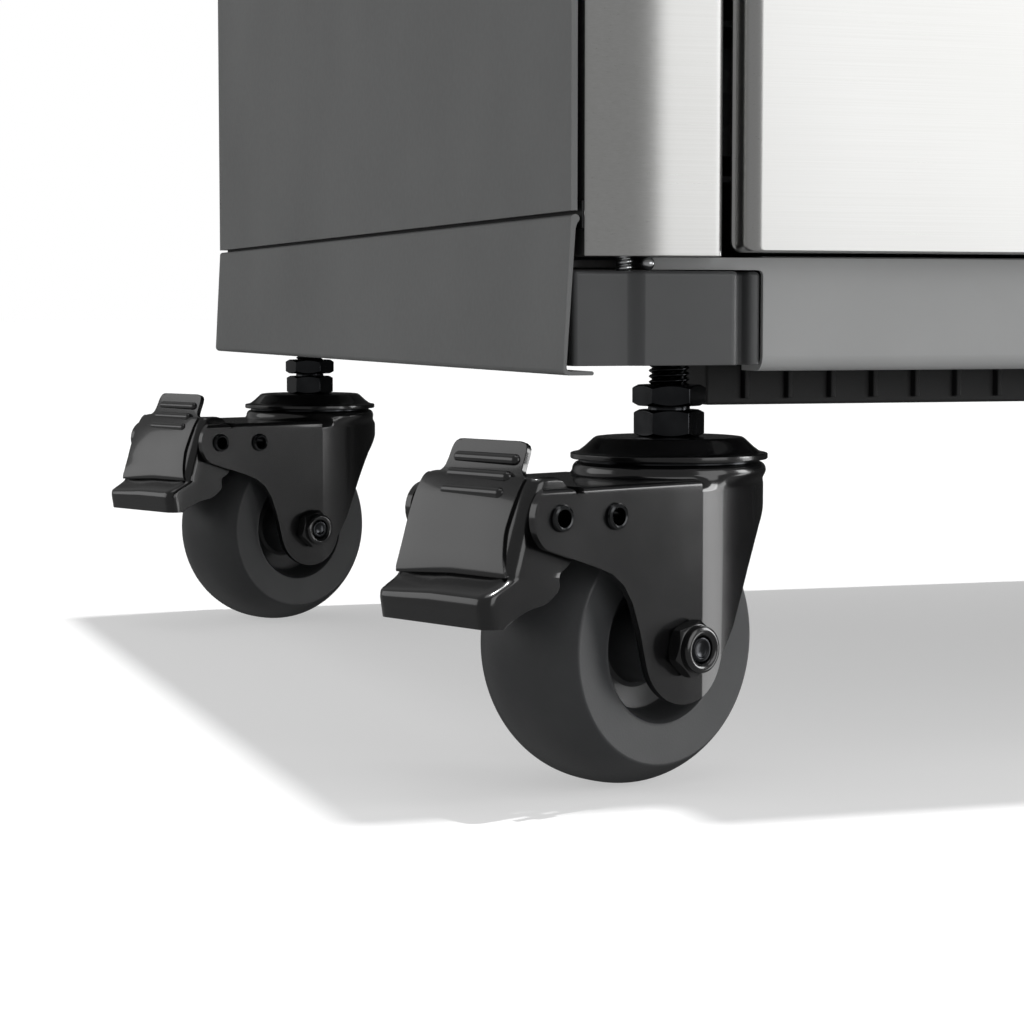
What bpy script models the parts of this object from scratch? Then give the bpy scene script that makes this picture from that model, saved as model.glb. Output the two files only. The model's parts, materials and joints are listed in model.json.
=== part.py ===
"""Rolling tool chest: a sheet-metal cabinet with four drawers on four total-lock stem casters.

Frame: metres, +Z up, front towards -Y, origin on the floor under the middle of the whole object.
"""

import math

import bmesh
import bpy
from mathutils import Matrix, Vector

MM = 0.001
FIT = 0.3 * MM                      # clearance between pieces that touch

# Cabinet, as seen from the front (X across, Y back, Z up)
WIDTH = 672 * MM                    # across the bottom edges of the side skirts
FRONT_Y = -176.8 * MM               # front face of the corner blocks
BACK_Y = 205 * MM                   # rear edge of the side panels
TOP_Z = 880 * MM                    # rim of the top
SHEET = 1.4 * MM                    # steel sheet

SKIRT_BOTTOM = 92.4 * MM
SEAM_Z = 127.6 * MM                 # line between the skirt and the side panel
SKIRT_FLARE = 1.8 * MM              # the skirt leans outwards by this much at its bottom edge
SKIRT_LIP = 6.6 * MM
SKIRT_SHEET = 1.0 * MM
SKIRT_HEM = 0.9 * MM                # radius of the rolled hem along its top
SHELL_TOP = 849.6 * MM              # top edge of the side panels and columns

BLOCK_BOTTOM = 94.4 * MM
BLOCK_TOP = 115.3 * MM
BLOCK_WIDTH = 42.8 * MM
BLOCK_INSET = 2.5 * MM              # from the bottom edge of the skirt to the side of the block
BLOCK_DEPTH = 46.6 * MM

RAIL_BOTTOM = 93.0 * MM
RAIL_TOP = 118.5 * MM
COLUMN_BOTTOM = 118.2 * MM
COLUMN_WIDTH = 31.2 * MM
COLUMN_GAP = 1.3 * MM
COLUMN_FRONT = FRONT_Y - 2.2 * MM
COLUMN_DEPTH = 13 * MM

BRACE_BOTTOM = 84.5 * MM
BRACE_DEPTH = 25 * MM
PAN_BOTTOM = 116.0 * MM

DRAWER_BOTTOM = 119.2 * MM
DRAWER_GAP = 3 * MM
DRAWER_HEIGHTS = [212 * MM, 187 * MM, 172 * MM, 140 * MM]     # lowest first
FACE_FRONT = FRONT_Y - 6 * MM       # the drawer faces stand proud of the blocks
FACE_DEPTH = 8 * MM
FACE_HALF_WIDTH = 296.0 * MM
FACE_RADIUS = 3.5 * MM
BOX_HALF_WIDTH = 286 * MM
BOX_WALL = 1.4 * MM
BOX_BACK = 168 * MM
BOX_RIM_DROP = 22 * MM              # how far the box rim sits below the top of its face

PULL_HALF_LENGTH = 262 * MM
PULL_REACH = 22.2 * MM
PULL_DROP = 14 * MM                 # top of the pull below the top of the face

LOCK_BARREL = 7 * MM                # radius
LOCK_PLACE = Vector((262 * MM, FACE_FRONT, 863 * MM))

LINER_X = 302 * MM                  # outer side of the plate that carries the slide channels
CHANNEL_HEIGHT = 36 * MM
CHANNEL_REACH = 12 * MM

HANDLE_REACH = 60 * MM              # how far the push handle stands off the side
HANDLE_HALF_LENGTH = 125 * MM
HANDLE_TUBE = 11 * MM               # radius of the tube
HANDLE_Z = 796 * MM

# Casters, in their own frame: X towards the pedal, Y along the axle, Z up, floor at 0
WHEEL_RADIUS = 32.5 * MM
WHEEL_HALF_WIDTH = 16 * MM
TRAIL = 16.5 * MM                   # axle ahead of the swivel axis
FORK_RADIUS = 22 * MM
FORK_WALL = 2 * MM
FORK_TOP = 71.6 * MM               # the raised ring under the cap
ARM_TOP = 68.9 * MM
PEDAL_PIVOT = Vector((54 * MM, 0, 63 * MM))
PEDAL_REACH = 72.0 * MM             # from the swivel axis to the lip
PEDAL_HALF_WIDTH = 18.2 * MM
STEM_RADIUS = 4.75 * MM

FRONT_STEM = Vector((302.4 * MM, -152.8 * MM, 0))
REAR_STEM = Vector((307.5 * MM, 181.0 * MM, 0))
PEDAL_TURN = 24                     # degrees from straight outwards to the pedal, towards the front

# The handle stands further out than the pedals opposite it, so the cabinet moves over by half of that
PEDAL_SIDE = (REAR_STEM.x + PEDAL_REACH * math.cos(math.radians(PEDAL_TURN))
              + PEDAL_HALF_WIDTH * math.sin(math.radians(PEDAL_TURN)))
CABINET_SHIFT_X = (PEDAL_SIDE - WIDTH / 2 - HANDLE_REACH) / 2


def clear_scene():
    for thing in list(bpy.data.objects):
        bpy.data.objects.remove(thing, do_unlink=True)


def make_material(name, colour, roughness, metallic):
    material = bpy.data.materials.new(name)
    material.use_nodes = True
    shader = material.node_tree.nodes["Principled BSDF"]
    shader.inputs["Base Color"].default_value = (*colour, 1)
    shader.inputs["Roughness"].default_value = roughness
    shader.inputs["Metallic"].default_value = metallic
    return material


FINISHES = {
    "shell_paint": ((0.060, 0.063, 0.066), 0.45, 0.2),
    "rail_paint": ((0.26, 0.27, 0.28), 0.4, 0.2),
    "stainless": ((0.62, 0.62, 0.61), 0.28, 1.0),
    "zinc_steel": ((0.45, 0.46, 0.47), 0.4, 1.0),
    "black_plastic": ((0.030, 0.031, 0.033), 0.5, 0.0),
    "rubber_mat": ((0.02, 0.02, 0.02), 0.85, 0.0),
    "black_steel": ((0.010, 0.010, 0.011), 0.22, 0.3),
    "wheel_rubber": ((0.022, 0.022, 0.023), 0.6, 0.0),
    "aluminium": ((0.70, 0.71, 0.72), 0.3, 1.0),
}


# Meshes

def object_from(bm, name):
    bmesh.ops.recalc_face_normals(bm, faces=bm.faces)
    mesh = bpy.data.meshes.new(name)
    bm.to_mesh(mesh)
    bm.free()
    thing = bpy.data.objects.new(name, mesh)
    bpy.context.collection.objects.link(thing)
    return thing


def box(name, low, high):
    """A plain block between two corners."""
    bm = bmesh.new()
    bmesh.ops.create_cube(bm, size=1)
    for vertex in bm.verts:
        vertex.co = Vector([low[i] if vertex.co[i] < 0 else high[i] for i in range(3)])
    return object_from(bm, name)


def prism(name, outline, start, end, axis="z"):
    """An outline pushed along one axis; the outline holds the other two coordinates in order."""
    place = {"x": lambda p, q, t: (t, p, q), "y": lambda p, q, t: (p, t, q), "z": lambda p, q, t: (p, q, t)}[axis]
    bm = bmesh.new()
    face = bm.faces.new([bm.verts.new(place(p, q, start)) for p, q in outline])
    moved = bmesh.ops.extrude_face_region(bm, geom=[face])["geom"]
    shift = Vector(place(0, 0, end - start))
    bmesh.ops.translate(bm, verts=[g for g in moved if isinstance(g, bmesh.types.BMVert)], vec=shift)
    return object_from(bm, name)


def turned(name, profile, steps=32, along="z"):
    """A closed outline of (radius, height) turned about Z or, with along="y", about Y."""
    bm = bmesh.new()
    points = [bm.verts.new((radius, 0, height)) for radius, height in profile]
    edges = [bm.edges.new((points[i], points[i + 1])) for i in range(len(points) - 1)]
    bmesh.ops.spin(bm, geom=points + edges, cent=(0, 0, 0), axis=(0, 0, 1), angle=2 * math.pi,
                   steps=steps, use_merge=True)
    bmesh.ops.remove_doubles(bm, verts=bm.verts, dist=1e-6)
    if along == "y":
        bmesh.ops.rotate(bm, verts=bm.verts, matrix=Matrix.Rotation(-math.pi / 2, 3, "X"))
    return object_from(bm, name)


def arc(centre, radius, start, end, steps):
    """Points on a circle from one angle to another, in degrees."""
    angles = [math.radians(start + (end - start) * i / steps) for i in range(steps + 1)]
    return [(centre[0] + radius * math.cos(t), centre[1] + radius * math.sin(t)) for t in angles]


def hexagon(across_flats):
    return [(across_flats / math.sqrt(3) * math.cos(math.radians(60 * i)),
             across_flats / math.sqrt(3) * math.sin(math.radians(60 * i))) for i in range(6)]


def combine(target, tool, operation):
    """Cut, join or intersect with a guide, and bake the result into the target's mesh."""
    modifier = target.modifiers.new(operation.lower(), "BOOLEAN")
    modifier.operation = operation
    modifier.object = tool
    bake(target)
    bpy.data.objects.remove(tool, do_unlink=True)
    return target


def bevel(target, width, segments=2, choose=None):
    """Round the edges that choose(a, b) picks, or all sharp ones."""
    bm = bmesh.new()
    bm.from_mesh(target.data)
    edges = [e for e in bm.edges
             if e.calc_face_angle(0) > math.radians(30) and (choose is None or choose(e.verts[0].co, e.verts[1].co))]
    bmesh.ops.bevel(bm, geom=edges, offset=width, segments=segments, profile=0.5, affect="EDGES")
    bm.to_mesh(target.data)
    bm.free()
    return target


def bake(target):
    graph = bpy.context.evaluated_depsgraph_get()
    mesh = bpy.data.meshes.new_from_object(target.evaluated_get(graph))
    target.modifiers.clear()
    target.data = mesh


def finish(target, finish_name, materials, smooth=False):
    target.data.materials.clear()
    target.data.materials.append(materials[finish_name])
    if smooth:
        target.data.shade_smooth()
        target.data.set_sharp_from_angle(angle=math.radians(35))
    return target


def mirrored(source, name):
    """The same piece on the other side of the cabinet."""
    bm = bmesh.new()
    bm.from_mesh(source.data)
    bmesh.ops.scale(bm, verts=bm.verts, vec=(-1, 1, 1))
    bmesh.ops.reverse_faces(bm, faces=bm.faces)
    copy = object_from(bm, name)
    copy.data.materials.append(source.data.materials[0])
    return copy


# Cabinet

def left_skirt():
    """Side skirt: leaning sheet, rolled hem along the top, lip folded inwards along the bottom."""
    foot = -WIDTH / 2
    head = foot + SKIRT_FLARE
    top = SEAM_Z - 0.4 * MM
    hem = SKIRT_HEM
    fold = 0.75 * MM
    corner = 1.2 * MM
    outline = [(head, top - hem)]
    outline += arc((head + hem, top - hem), hem, 180, 0, 6)[1:]
    outline += [(head + 2 * hem, top - 3.4 * MM), (head + SKIRT_SHEET, top - 4.4 * MM),
                (foot + SKIRT_SHEET, SKIRT_BOTTOM + 2.4 * fold)]
    outline += arc((foot + SKIRT_LIP, SKIRT_BOTTOM + fold), fold, 90, -90, 4)
    outline += arc((foot + corner, SKIRT_BOTTOM + corner), corner, 270, 180, 3)
    return prism("left_skirt", outline, FRONT_Y + 0.8 * MM, BACK_Y, "y")


def left_side_panel():
    """Side panel: one sheet with a short return along its rear edge."""
    outer = -WIDTH / 2 + SKIRT_FLARE
    rear = BACK_Y
    outline = [(outer, FRONT_Y + 0.8 * MM), (outer + SHEET, FRONT_Y + 0.8 * MM), (outer + SHEET, rear - SHEET),
               (outer + 14 * MM, rear - SHEET), (outer + 14 * MM, rear), (outer, rear)]
    return prism("left_side_panel", outline, SEAM_Z + 0.4 * MM, SHELL_TOP)


def left_column():
    """Stainless column: a channel whose face turns away towards the side of the chest."""
    left = -WIDTH / 2 + SKIRT_FLARE + 2 * SKIRT_HEM + COLUMN_GAP
    right = left + COLUMN_WIDTH
    back = COLUMN_FRONT + COLUMN_DEPTH
    turn = 16 * MM
    outer = [(left, COLUMN_FRONT + 3.2 * MM), (left + turn, COLUMN_FRONT + 0.5 * MM)]
    outer += arc((right - 1.5 * MM, COLUMN_FRONT + 1.5 * MM), 1.5 * MM, 270, 360, 3)
    inner = [(right - SHEET, back), (right - SHEET, COLUMN_FRONT + 2.0 * MM),
             (left + turn, COLUMN_FRONT + 0.5 * MM + SHEET), (left + SHEET, COLUMN_FRONT + 3.2 * MM + SHEET),
             (left + SHEET, back), (left, back)]
    return prism("left_column", outer + [(right, back)] + inner, COLUMN_BOTTOM, SHELL_TOP)


def corner_block(name, stem, front, left):
    """Moulded corner block with a socket for the caster's stem."""
    low = (left, front, BLOCK_BOTTOM)
    high = (left + BLOCK_WIDTH, front + BLOCK_DEPTH, BLOCK_TOP)
    block = bevel(box(name, low, high), 2.2 * MM, 2, lambda a, b: abs(a.z - b.z) > 5 * MM or a.z > BLOCK_TOP - MM)
    socket = turned("socket", [(0, -1 * MM), (STEM_RADIUS + 0.4 * MM, -1 * MM),
                               (STEM_RADIUS + 0.4 * MM, 19 * MM), (0, 19 * MM)], 16)
    socket.location = (-stem.x, stem.y, BLOCK_BOTTOM)
    return combine(block, socket, "DIFFERENCE")


def base_rail():
    """Front rail between the corner blocks, its bottom edge turned under and its top edge turned back."""
    front = FRONT_Y + 2 * MM
    half = WIDTH / 2 - BLOCK_INSET - BLOCK_WIDTH - FIT
    depth = 12 * MM
    round_under = 4 * MM
    outline = arc((front + round_under, RAIL_BOTTOM + round_under), round_under, 180, 270, 5)
    outline += [(front + depth, RAIL_BOTTOM), (front + depth, RAIL_BOTTOM + SHEET)]
    outline += arc((front + round_under, RAIL_BOTTOM + round_under), round_under - SHEET, 270, 180, 5)
    outline += [(front + SHEET, RAIL_TOP - SHEET), (front + depth, RAIL_TOP - SHEET), (front + depth, RAIL_TOP),
                (front - 0.8 * MM, RAIL_TOP), (front - 0.8 * MM, RAIL_TOP - SHEET), (front, RAIL_TOP - SHEET)]
    return prism("base_rail", outline, -half, half, "x")


def base_pan():
    """Floor of the cabinet, with a turned-down flange along its rear edge."""
    half = WIDTH / 2 - SKIRT_FLARE - 3 * SHEET
    front = FRONT_Y + 16 * MM
    rear = BACK_Y - 2 * SHEET
    thick = 1.6 * MM
    outline = [(front, PAN_BOTTOM), (rear - thick, PAN_BOTTOM), (rear - thick, BLOCK_TOP + 0.4 * MM),
               (rear, BLOCK_TOP + 0.4 * MM), (rear, PAN_BOTTOM + thick), (front, PAN_BOTTOM + thick)]
    return prism("base_pan", outline, -half, half, "x")


def floor_brace():
    """Moulded brace under the front of the floor, a channel that is open underneath."""
    half = WIDTH / 2 - BLOCK_INSET - BLOCK_WIDTH - 0.4 * MM
    low = (-half, FRONT_Y + 30 * MM, BRACE_BOTTOM)
    high = (half, FRONT_Y + 30 * MM + BRACE_DEPTH, PAN_BOTTOM - FIT)
    wall = 3 * MM
    brace = box("floor_brace", low, high)
    hollow = box("hollow", (low[0] + wall, low[1] + wall, low[2] - wall), (high[0] - wall, high[1] - wall, high[2] - wall))
    return combine(brace, hollow, "DIFFERENCE")


def back_panel():
    half = WIDTH / 2 - SKIRT_FLARE - SHEET - 13 * MM
    return box("back_panel", (-half, BACK_Y - SHEET, BLOCK_TOP + 3 * MM), (half, BACK_Y, SHELL_TOP))


def top_panel():
    """Folded top with a front apron, a raised rim and a shallow well for the mat."""
    half = WIDTH / 2 - SKIRT_FLARE
    front = FACE_FRONT
    top = box("top_panel", (-half, front, SHELL_TOP + FIT), (half, BACK_Y, TOP_Z))
    bevel(top, 6 * MM, 3, lambda a, b: abs(a.z - b.z) > 5 * MM)
    bevel(top, 1.6 * MM, 2, lambda a, b: a.z > TOP_Z - MM and b.z > TOP_Z - MM)
    wall = 6 * MM
    well = box("well", (-half + wall, front + wall, TOP_Z - 5 * MM), (half - wall, BACK_Y - wall, TOP_Z + 5 * MM))
    combine(top, well, "DIFFERENCE")
    inside = box("inside", (-half + 3 * MM, front + 3 * MM, SHELL_TOP - 5 * MM),
                 (half - 3 * MM, BACK_Y - 3 * MM, TOP_Z - 7 * MM))
    combine(top, inside, "DIFFERENCE")
    hole = turned("hole", [(0, -8 * MM), (LOCK_BARREL + 0.4 * MM, -8 * MM), (LOCK_BARREL + 0.4 * MM, 8 * MM),
                           (0, 8 * MM)], 24, "y")
    hole.location = LOCK_PLACE
    return combine(top, hole, "DIFFERENCE")


def top_mat():
    half = WIDTH / 2 - SKIRT_FLARE - 6.5 * MM
    mat = box("top_mat", (-half, FACE_FRONT + 6.5 * MM, TOP_Z - 5 * MM + FIT), (half, BACK_Y - 6.5 * MM, TOP_Z - 1 * MM))
    return bevel(mat, 4 * MM, 2, lambda a, b: abs(a.z - b.z) > 2 * MM)


def lock_cylinder():
    """Key lock: a round face in front of the apron and a barrel that passes through it."""
    profile = [(0, -4 * MM), (9 * MM, -4 * MM), (10 * MM, -3 * MM), (10 * MM, -FIT), (LOCK_BARREL, -FIT),
               (LOCK_BARREL, 14 * MM), (0, 14 * MM)]
    lock = turned("lock_cylinder", profile, 24, "y")
    slot = box("slot", (-0.8 * MM, -6 * MM, -4 * MM), (0.8 * MM, -2.4 * MM, 4 * MM))
    combine(lock, slot, "DIFFERENCE")
    lock.location = LOCK_PLACE
    return lock


def left_slide_liner(drawers):
    """Inner side plate with one C-shaped slide channel for each drawer."""
    inner = -LINER_X + SHEET
    plate = box("left_slide_liner", (-LINER_X, COLUMN_FRONT + COLUMN_DEPTH + FIT, DRAWER_BOTTOM + 2 * MM),
                (inner, BOX_BACK + 4 * MM, SHELL_TOP - 2 * MM))
    for bottom, _height in drawers:
        middle = slide_height(bottom)
        low, high = middle - CHANNEL_HEIGHT / 2, middle + CHANNEL_HEIGHT / 2
        reach = inner + CHANNEL_REACH
        outline = [(inner - 0.5 * SHEET, low), (reach, low), (reach, low + SHEET), (inner + SHEET, low + SHEET),
                   (inner + SHEET, high - SHEET), (reach, high - SHEET), (reach, high), (inner - 0.5 * SHEET, high)]
        channel = prism("channel", outline, FRONT_Y + 14 * MM, BOX_BACK + 2 * MM, "y")
        combine(plate, channel, "UNION")
    return plate


def push_handle():
    """Bent tube on the right side, its two ends against the side panel."""
    foot = WIDTH / 2 - SKIRT_FLARE + FIT
    far = WIDTH / 2 + HANDLE_REACH - HANDLE_TUBE
    bend = 26 * MM
    path = [(foot, -HANDLE_HALF_LENGTH)]
    path += arc((far - bend, -HANDLE_HALF_LENGTH + bend), bend, 270, 360, 5)
    path += arc((far - bend, HANDLE_HALF_LENGTH - bend), bend, 0, 90, 5)
    path += [(foot, HANDLE_HALF_LENGTH)]
    curve = bpy.data.curves.new("push_handle", "CURVE")
    curve.dimensions = "3D"
    curve.bevel_depth = HANDLE_TUBE
    curve.bevel_resolution = 3
    curve.use_fill_caps = True
    spline = curve.splines.new("POLY")
    spline.points.add(len(path) - 1)
    for point, (x, y) in zip(spline.points, path):
        point.co = (x, y, HANDLE_Z, 1)
    thing = bpy.data.objects.new("push_handle", curve)
    bpy.context.collection.objects.link(thing)
    graph = bpy.context.evaluated_depsgraph_get()
    mesh = bpy.data.meshes.new_from_object(thing.evaluated_get(graph))
    bpy.data.objects.remove(thing, do_unlink=True)
    bm = bmesh.new()
    bm.from_mesh(mesh)
    bmesh.ops.remove_doubles(bm, verts=bm.verts, dist=1e-6)
    return object_from(bm, "push_handle")


# Drawers

def drawer_rows():
    """Bottom edge and height of each drawer face, lowest first."""
    rows = []
    bottom = DRAWER_BOTTOM
    for height in DRAWER_HEIGHTS:
        rows.append((bottom, height))
        bottom += height + DRAWER_GAP
    return rows


def slide_height(bottom):
    return bottom + 34 * MM


def drawer_box(number, bottom, height):
    """Open tray with a runner bar along each side."""
    low_z = bottom + 6 * MM
    high_z = bottom + height - BOX_RIM_DROP
    front = FACE_FRONT + FACE_DEPTH + FIT
    tray = box(f"drawer_{number}_box", (-BOX_HALF_WIDTH, front, low_z), (BOX_HALF_WIDTH, BOX_BACK, high_z))
    middle = slide_height(bottom)
    runner = box("runner", (-BOX_HALF_WIDTH - 10.2 * MM, front + 14 * MM, middle - 12 * MM),
                 (BOX_HALF_WIDTH + 10.2 * MM, BOX_BACK - 2 * MM, middle + 12 * MM))
    combine(tray, runner, "UNION")
    hollow = box("hollow", (-BOX_HALF_WIDTH + BOX_WALL, front + BOX_WALL, low_z + BOX_WALL),
                 (BOX_HALF_WIDTH - BOX_WALL, BOX_BACK - BOX_WALL, high_z + 10 * MM))
    return combine(tray, hollow, "DIFFERENCE")


def drawer_front(number, bottom, height):
    """Pressed face with soft rolled edges, open behind."""
    face = box(f"drawer_{number}_front", (-FACE_HALF_WIDTH, FACE_FRONT, bottom),
               (FACE_HALF_WIDTH, FACE_FRONT + FACE_DEPTH, bottom + height))
    front_edge = FACE_FRONT + 0.1 * MM
    bevel(face, FACE_RADIUS, 4, lambda a, b: a.y < front_edge and b.y < front_edge)
    hollow = box("hollow", (-FACE_HALF_WIDTH + SHEET, FACE_FRONT + SHEET + 2 * MM, bottom + SHEET),
                 (FACE_HALF_WIDTH - SHEET, FACE_FRONT + 2 * FACE_DEPTH, bottom + height - SHEET))
    return combine(face, hollow, "DIFFERENCE")


def drawer_pull(number, bottom, height):
    """Extruded pull: a back flange, a top shelf and a lip for the fingers."""
    back = FACE_FRONT - FIT
    front = FACE_FRONT - PULL_REACH
    top = bottom + height - PULL_DROP
    wall = 2.2 * MM
    lip = 13 * MM
    outline = [(back, top), (back, top - 20 * MM), (back - wall, top - 20 * MM), (back - wall, top - wall),
               (front + wall, top - wall), (front + wall, top - lip)]
    outline += arc((front + wall / 2, top - lip), wall / 2, 0, -180, 3)[1:]
    outline += arc((front + 4 * MM, top - 4 * MM), 4 * MM, 180, 90, 4)
    return prism(f"drawer_{number}_pull", outline, -PULL_HALF_LENGTH, PULL_HALF_LENGTH, "x")


# Casters: every function builds its piece in the caster's own frame

def caster_stem():
    """Threaded stem with the hexagon that seats it on the cap."""
    stem = turned("stem", [(0, 82 * MM), (STEM_RADIUS, 82 * MM), (STEM_RADIUS, 111.6 * MM),
                           (STEM_RADIUS - MM, 112.6 * MM), (0, 112.6 * MM)], 16)
    seat = prism("seat", hexagon(14.6 * MM), 78.2 * MM, 83.7 * MM)
    return combine(stem, seat, "UNION")


def caster_jam_nut():
    nut = prism("nut", hexagon(15.2 * MM), 85.0 * MM, 89.6 * MM)
    bore = turned("bore", [(0, 80 * MM), (STEM_RADIUS + FIT, 80 * MM), (STEM_RADIUS + FIT, 95 * MM),
                           (0, 95 * MM)], 16)
    return combine(nut, bore, "DIFFERENCE")


def caster_cap():
    """Raceway cap: flat top, sloping skirt, thin rim."""
    profile = [(0, 72.0 * MM), (19.4 * MM, 72.0 * MM), (20.4 * MM, 72.9 * MM), (22.5 * MM, 72.9 * MM),
               (22.6 * MM, 73.7 * MM), (20.8 * MM, 74.4 * MM), (17.4 * MM, 77.2 * MM), (16.4 * MM, 77.8 * MM),
               (0, 77.8 * MM)]
    return turned("cap", profile, 24)


def fork_side_outline():
    """Side view of the fork: hood, leg around the axle, arm and ear for the pedal."""
    outline = [(-24 * MM, 74 * MM), (-24 * MM, 65 * MM), (-16.0 * MM, 58.4 * MM), (-11.8 * MM, 54.0 * MM),
               (-7.9 * MM, 48.8 * MM), (-2.4 * MM, 38 * MM)]
    outline += arc((TRAIL, WHEEL_RADIUS), 12.6 * MM, 190, 340, 8)
    outline += [(30.6 * MM, 36 * MM), (33.0 * MM, 43.6 * MM), (36.0 * MM, 48.2 * MM), (41.5 * MM, 51.2 * MM)]
    outline += arc((54 * MM, 63.3 * MM), 8.2 * MM, -65, 118, 9)
    outline += [(49.4 * MM, 68.6 * MM), (47.0 * MM, 68.6 * MM), (46.4 * MM, 74 * MM)]
    return outline


def caster_fork():
    """Pressed hood: round at the back, flat cheeks at the sides, open towards the pedal."""
    plan = arc((0, 0), FORK_RADIUS, 90, 270, 10) + [(64 * MM, -FORK_RADIUS), (64 * MM, FORK_RADIUS)]
    inner_radius = FORK_RADIUS - FORK_WALL
    inner = arc((0, 0), inner_radius, 90, 270, 10) + [(70 * MM, -inner_radius), (70 * MM, inner_radius)]
    fork = prism("fork", plan, 15 * MM, ARM_TOP)
    bevel(fork, 1.8 * MM, 2, lambda a, b: a.z > ARM_TOP - 0.1 * MM and b.z > ARM_TOP - 0.1 * MM
          and 0 <= max(a.x, b.x) < 65 * MM and min(a.x, b.x) > -0.1 * MM)
    rim = FORK_RADIUS - 0.05 * MM
    ring = turned("ring", [(0, 60 * MM), (rim, 60 * MM), (rim, FORK_TOP - 1.8 * MM),
                           (rim - 0.6 * MM, FORK_TOP - 0.5 * MM), (rim - 1.8 * MM, FORK_TOP), (0, FORK_TOP)], 20)
    combine(fork, ring, "UNION")
    combine(fork, prism("inner", inner, 10 * MM, ARM_TOP - FORK_WALL), "DIFFERENCE")
    between_ears = box("between_ears", (46.4 * MM, -inner_radius, 60 * MM), (70 * MM, inner_radius, 80 * MM))
    combine(fork, between_ears, "DIFFERENCE")
    combine(fork, prism("side", fork_side_outline(), -30 * MM, 30 * MM, "y"), "INTERSECT")
    for place in ((TRAIL, WHEEL_RADIUS), (PEDAL_PIVOT.x, PEDAL_PIVOT.z)):
        hole = prism("hole", arc(place, 4.4 * MM if place[0] == TRAIL else 2.6 * MM, 0, 337.5, 15),
                     -30 * MM, 30 * MM, "y")
        combine(fork, hole, "DIFFERENCE")
    return fork


def caster_axle():
    """Axle bolt with its hexagon head and lock nut done up against the cheeks."""
    cheek = FORK_RADIUS + FIT
    axle = turned("axle", [(0, -cheek - 3 * MM), (4 * MM, -cheek - 3 * MM), (4 * MM, cheek + 7.4 * MM),
                           (0, cheek + 7.4 * MM)], 20, "y")
    rotate = Matrix.Rotation(-math.pi / 2, 4, "X")
    for start, end in ((-cheek - 4.6 * MM, -cheek), (cheek, cheek + 5.4 * MM)):
        nut = prism("nut", hexagon(12.6 * MM), start, end)
        nut.data.transform(rotate)
        combine(axle, nut, "UNION")
    return axle


def caster_wheel():
    """Moulded wheel: crowned tread, flat side ring and a deep dish around the hub."""
    half = WHEEL_HALF_WIDTH
    crown = [(WHEEL_RADIUS - 6.1 * MM * abs(t) ** 2.4, half * t) for t in
             [-1, -0.85, -0.6, -0.3, 0, 0.3, 0.6, 0.85, 1]]
    bore = 4.4 * MM
    hub = 8.5 * MM
    dish = [(17.2 * MM, half - 0.6 * MM), (15.6 * MM, 7 * MM), (hub, 5.5 * MM), (hub, 18.5 * MM), (bore, 18.5 * MM)]
    profile = [(r, -h) for r, h in reversed(dish)] + crown + dish
    return turned("wheel", profile + [profile[0]], 32, "y")


def caster_pedal():
    """Foot pedal: ridged tab, sloping plate, flared lip, and a flange at each side that reaches the pivot."""
    half = PEDAL_HALF_WIDTH
    sheet = 1.6 * MM
    outer = [(57.8 * MM, 71.4 * MM), (61.9 * MM, 62.9 * MM), (65.8 * MM, 50.2 * MM), (71.2 * MM, 46.8 * MM),
             (PEDAL_REACH, 45.2 * MM), (71.2 * MM, 40.2 * MM)]
    inner = [(69.6 * MM, 40.3 * MM), (70.2 * MM, 44.8 * MM), (64.2 * MM, 49.0 * MM), (60.3 * MM, 62.4 * MM),
             (56.4 * MM, 70.6 * MM)]
    pedal = prism("pedal", outer + inner, -half, half, "y")
    tab = prism("tab", [(54.2 * MM, 78.6 * MM), (54.8 * MM, 78.8 * MM), (58.0 * MM, 71 * MM), (58.6 * MM, 69.6 * MM),
                        (57.0 * MM, 69.2 * MM), (56.4 * MM, 70.6 * MM), (53.2 * MM, 78.2 * MM)],
                -12.2 * MM, 12.2 * MM, "y")
    combine(pedal, tab, "UNION")
    flange = [(57.1 * MM, 70.9 * MM), (61.2 * MM, 62.6 * MM), (65.1 * MM, 49.6 * MM), (70.4 * MM, 45.8 * MM),
              (70.2 * MM, 41 * MM), (60.6 * MM, 46.5 * MM), (52.5 * MM, 52.6 * MM)]
    flange += arc((PEDAL_PIVOT.x, PEDAL_PIVOT.z), 6.6 * MM, 215, 100, 6)
    for side in (-1, 1):
        plate = prism("plate", flange, side * (half - 0.2 * MM), side * (half - sheet), "y")
        combine(pedal, plate, "UNION")
    bore = prism("bore", arc((PEDAL_PIVOT.x, PEDAL_PIVOT.z), 2.6 * MM, 0, 330, 11), -30 * MM, 30 * MM, "y")
    combine(pedal, bore, "DIFFERENCE")
    return pedal


CASTER_PIECES = [
    ("stem", caster_stem, "zinc_steel", True),
    ("jam_nut", caster_jam_nut, "zinc_steel", False),
    ("cap", caster_cap, "black_steel", True),
    ("fork", caster_fork, "black_steel", True),
    ("axle", caster_axle, "black_steel", True),
    ("wheel", caster_wheel, "wheel_rubber", True),
    ("pedal", caster_pedal, "black_steel", True),
]


def caster_places():
    """Corner name, swivel axis on the floor, and the way the pedal points."""
    for y_name, stem in (("front", FRONT_STEM), ("rear", REAR_STEM)):
        for x_name, side in (("left", -1), ("right", 1)):
            place = Vector((side * stem.x, stem.y, 0))
            turn = 180 + PEDAL_TURN if side < 0 else -PEDAL_TURN
            yield f"{y_name}_{x_name}", place, math.radians(turn)


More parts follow.
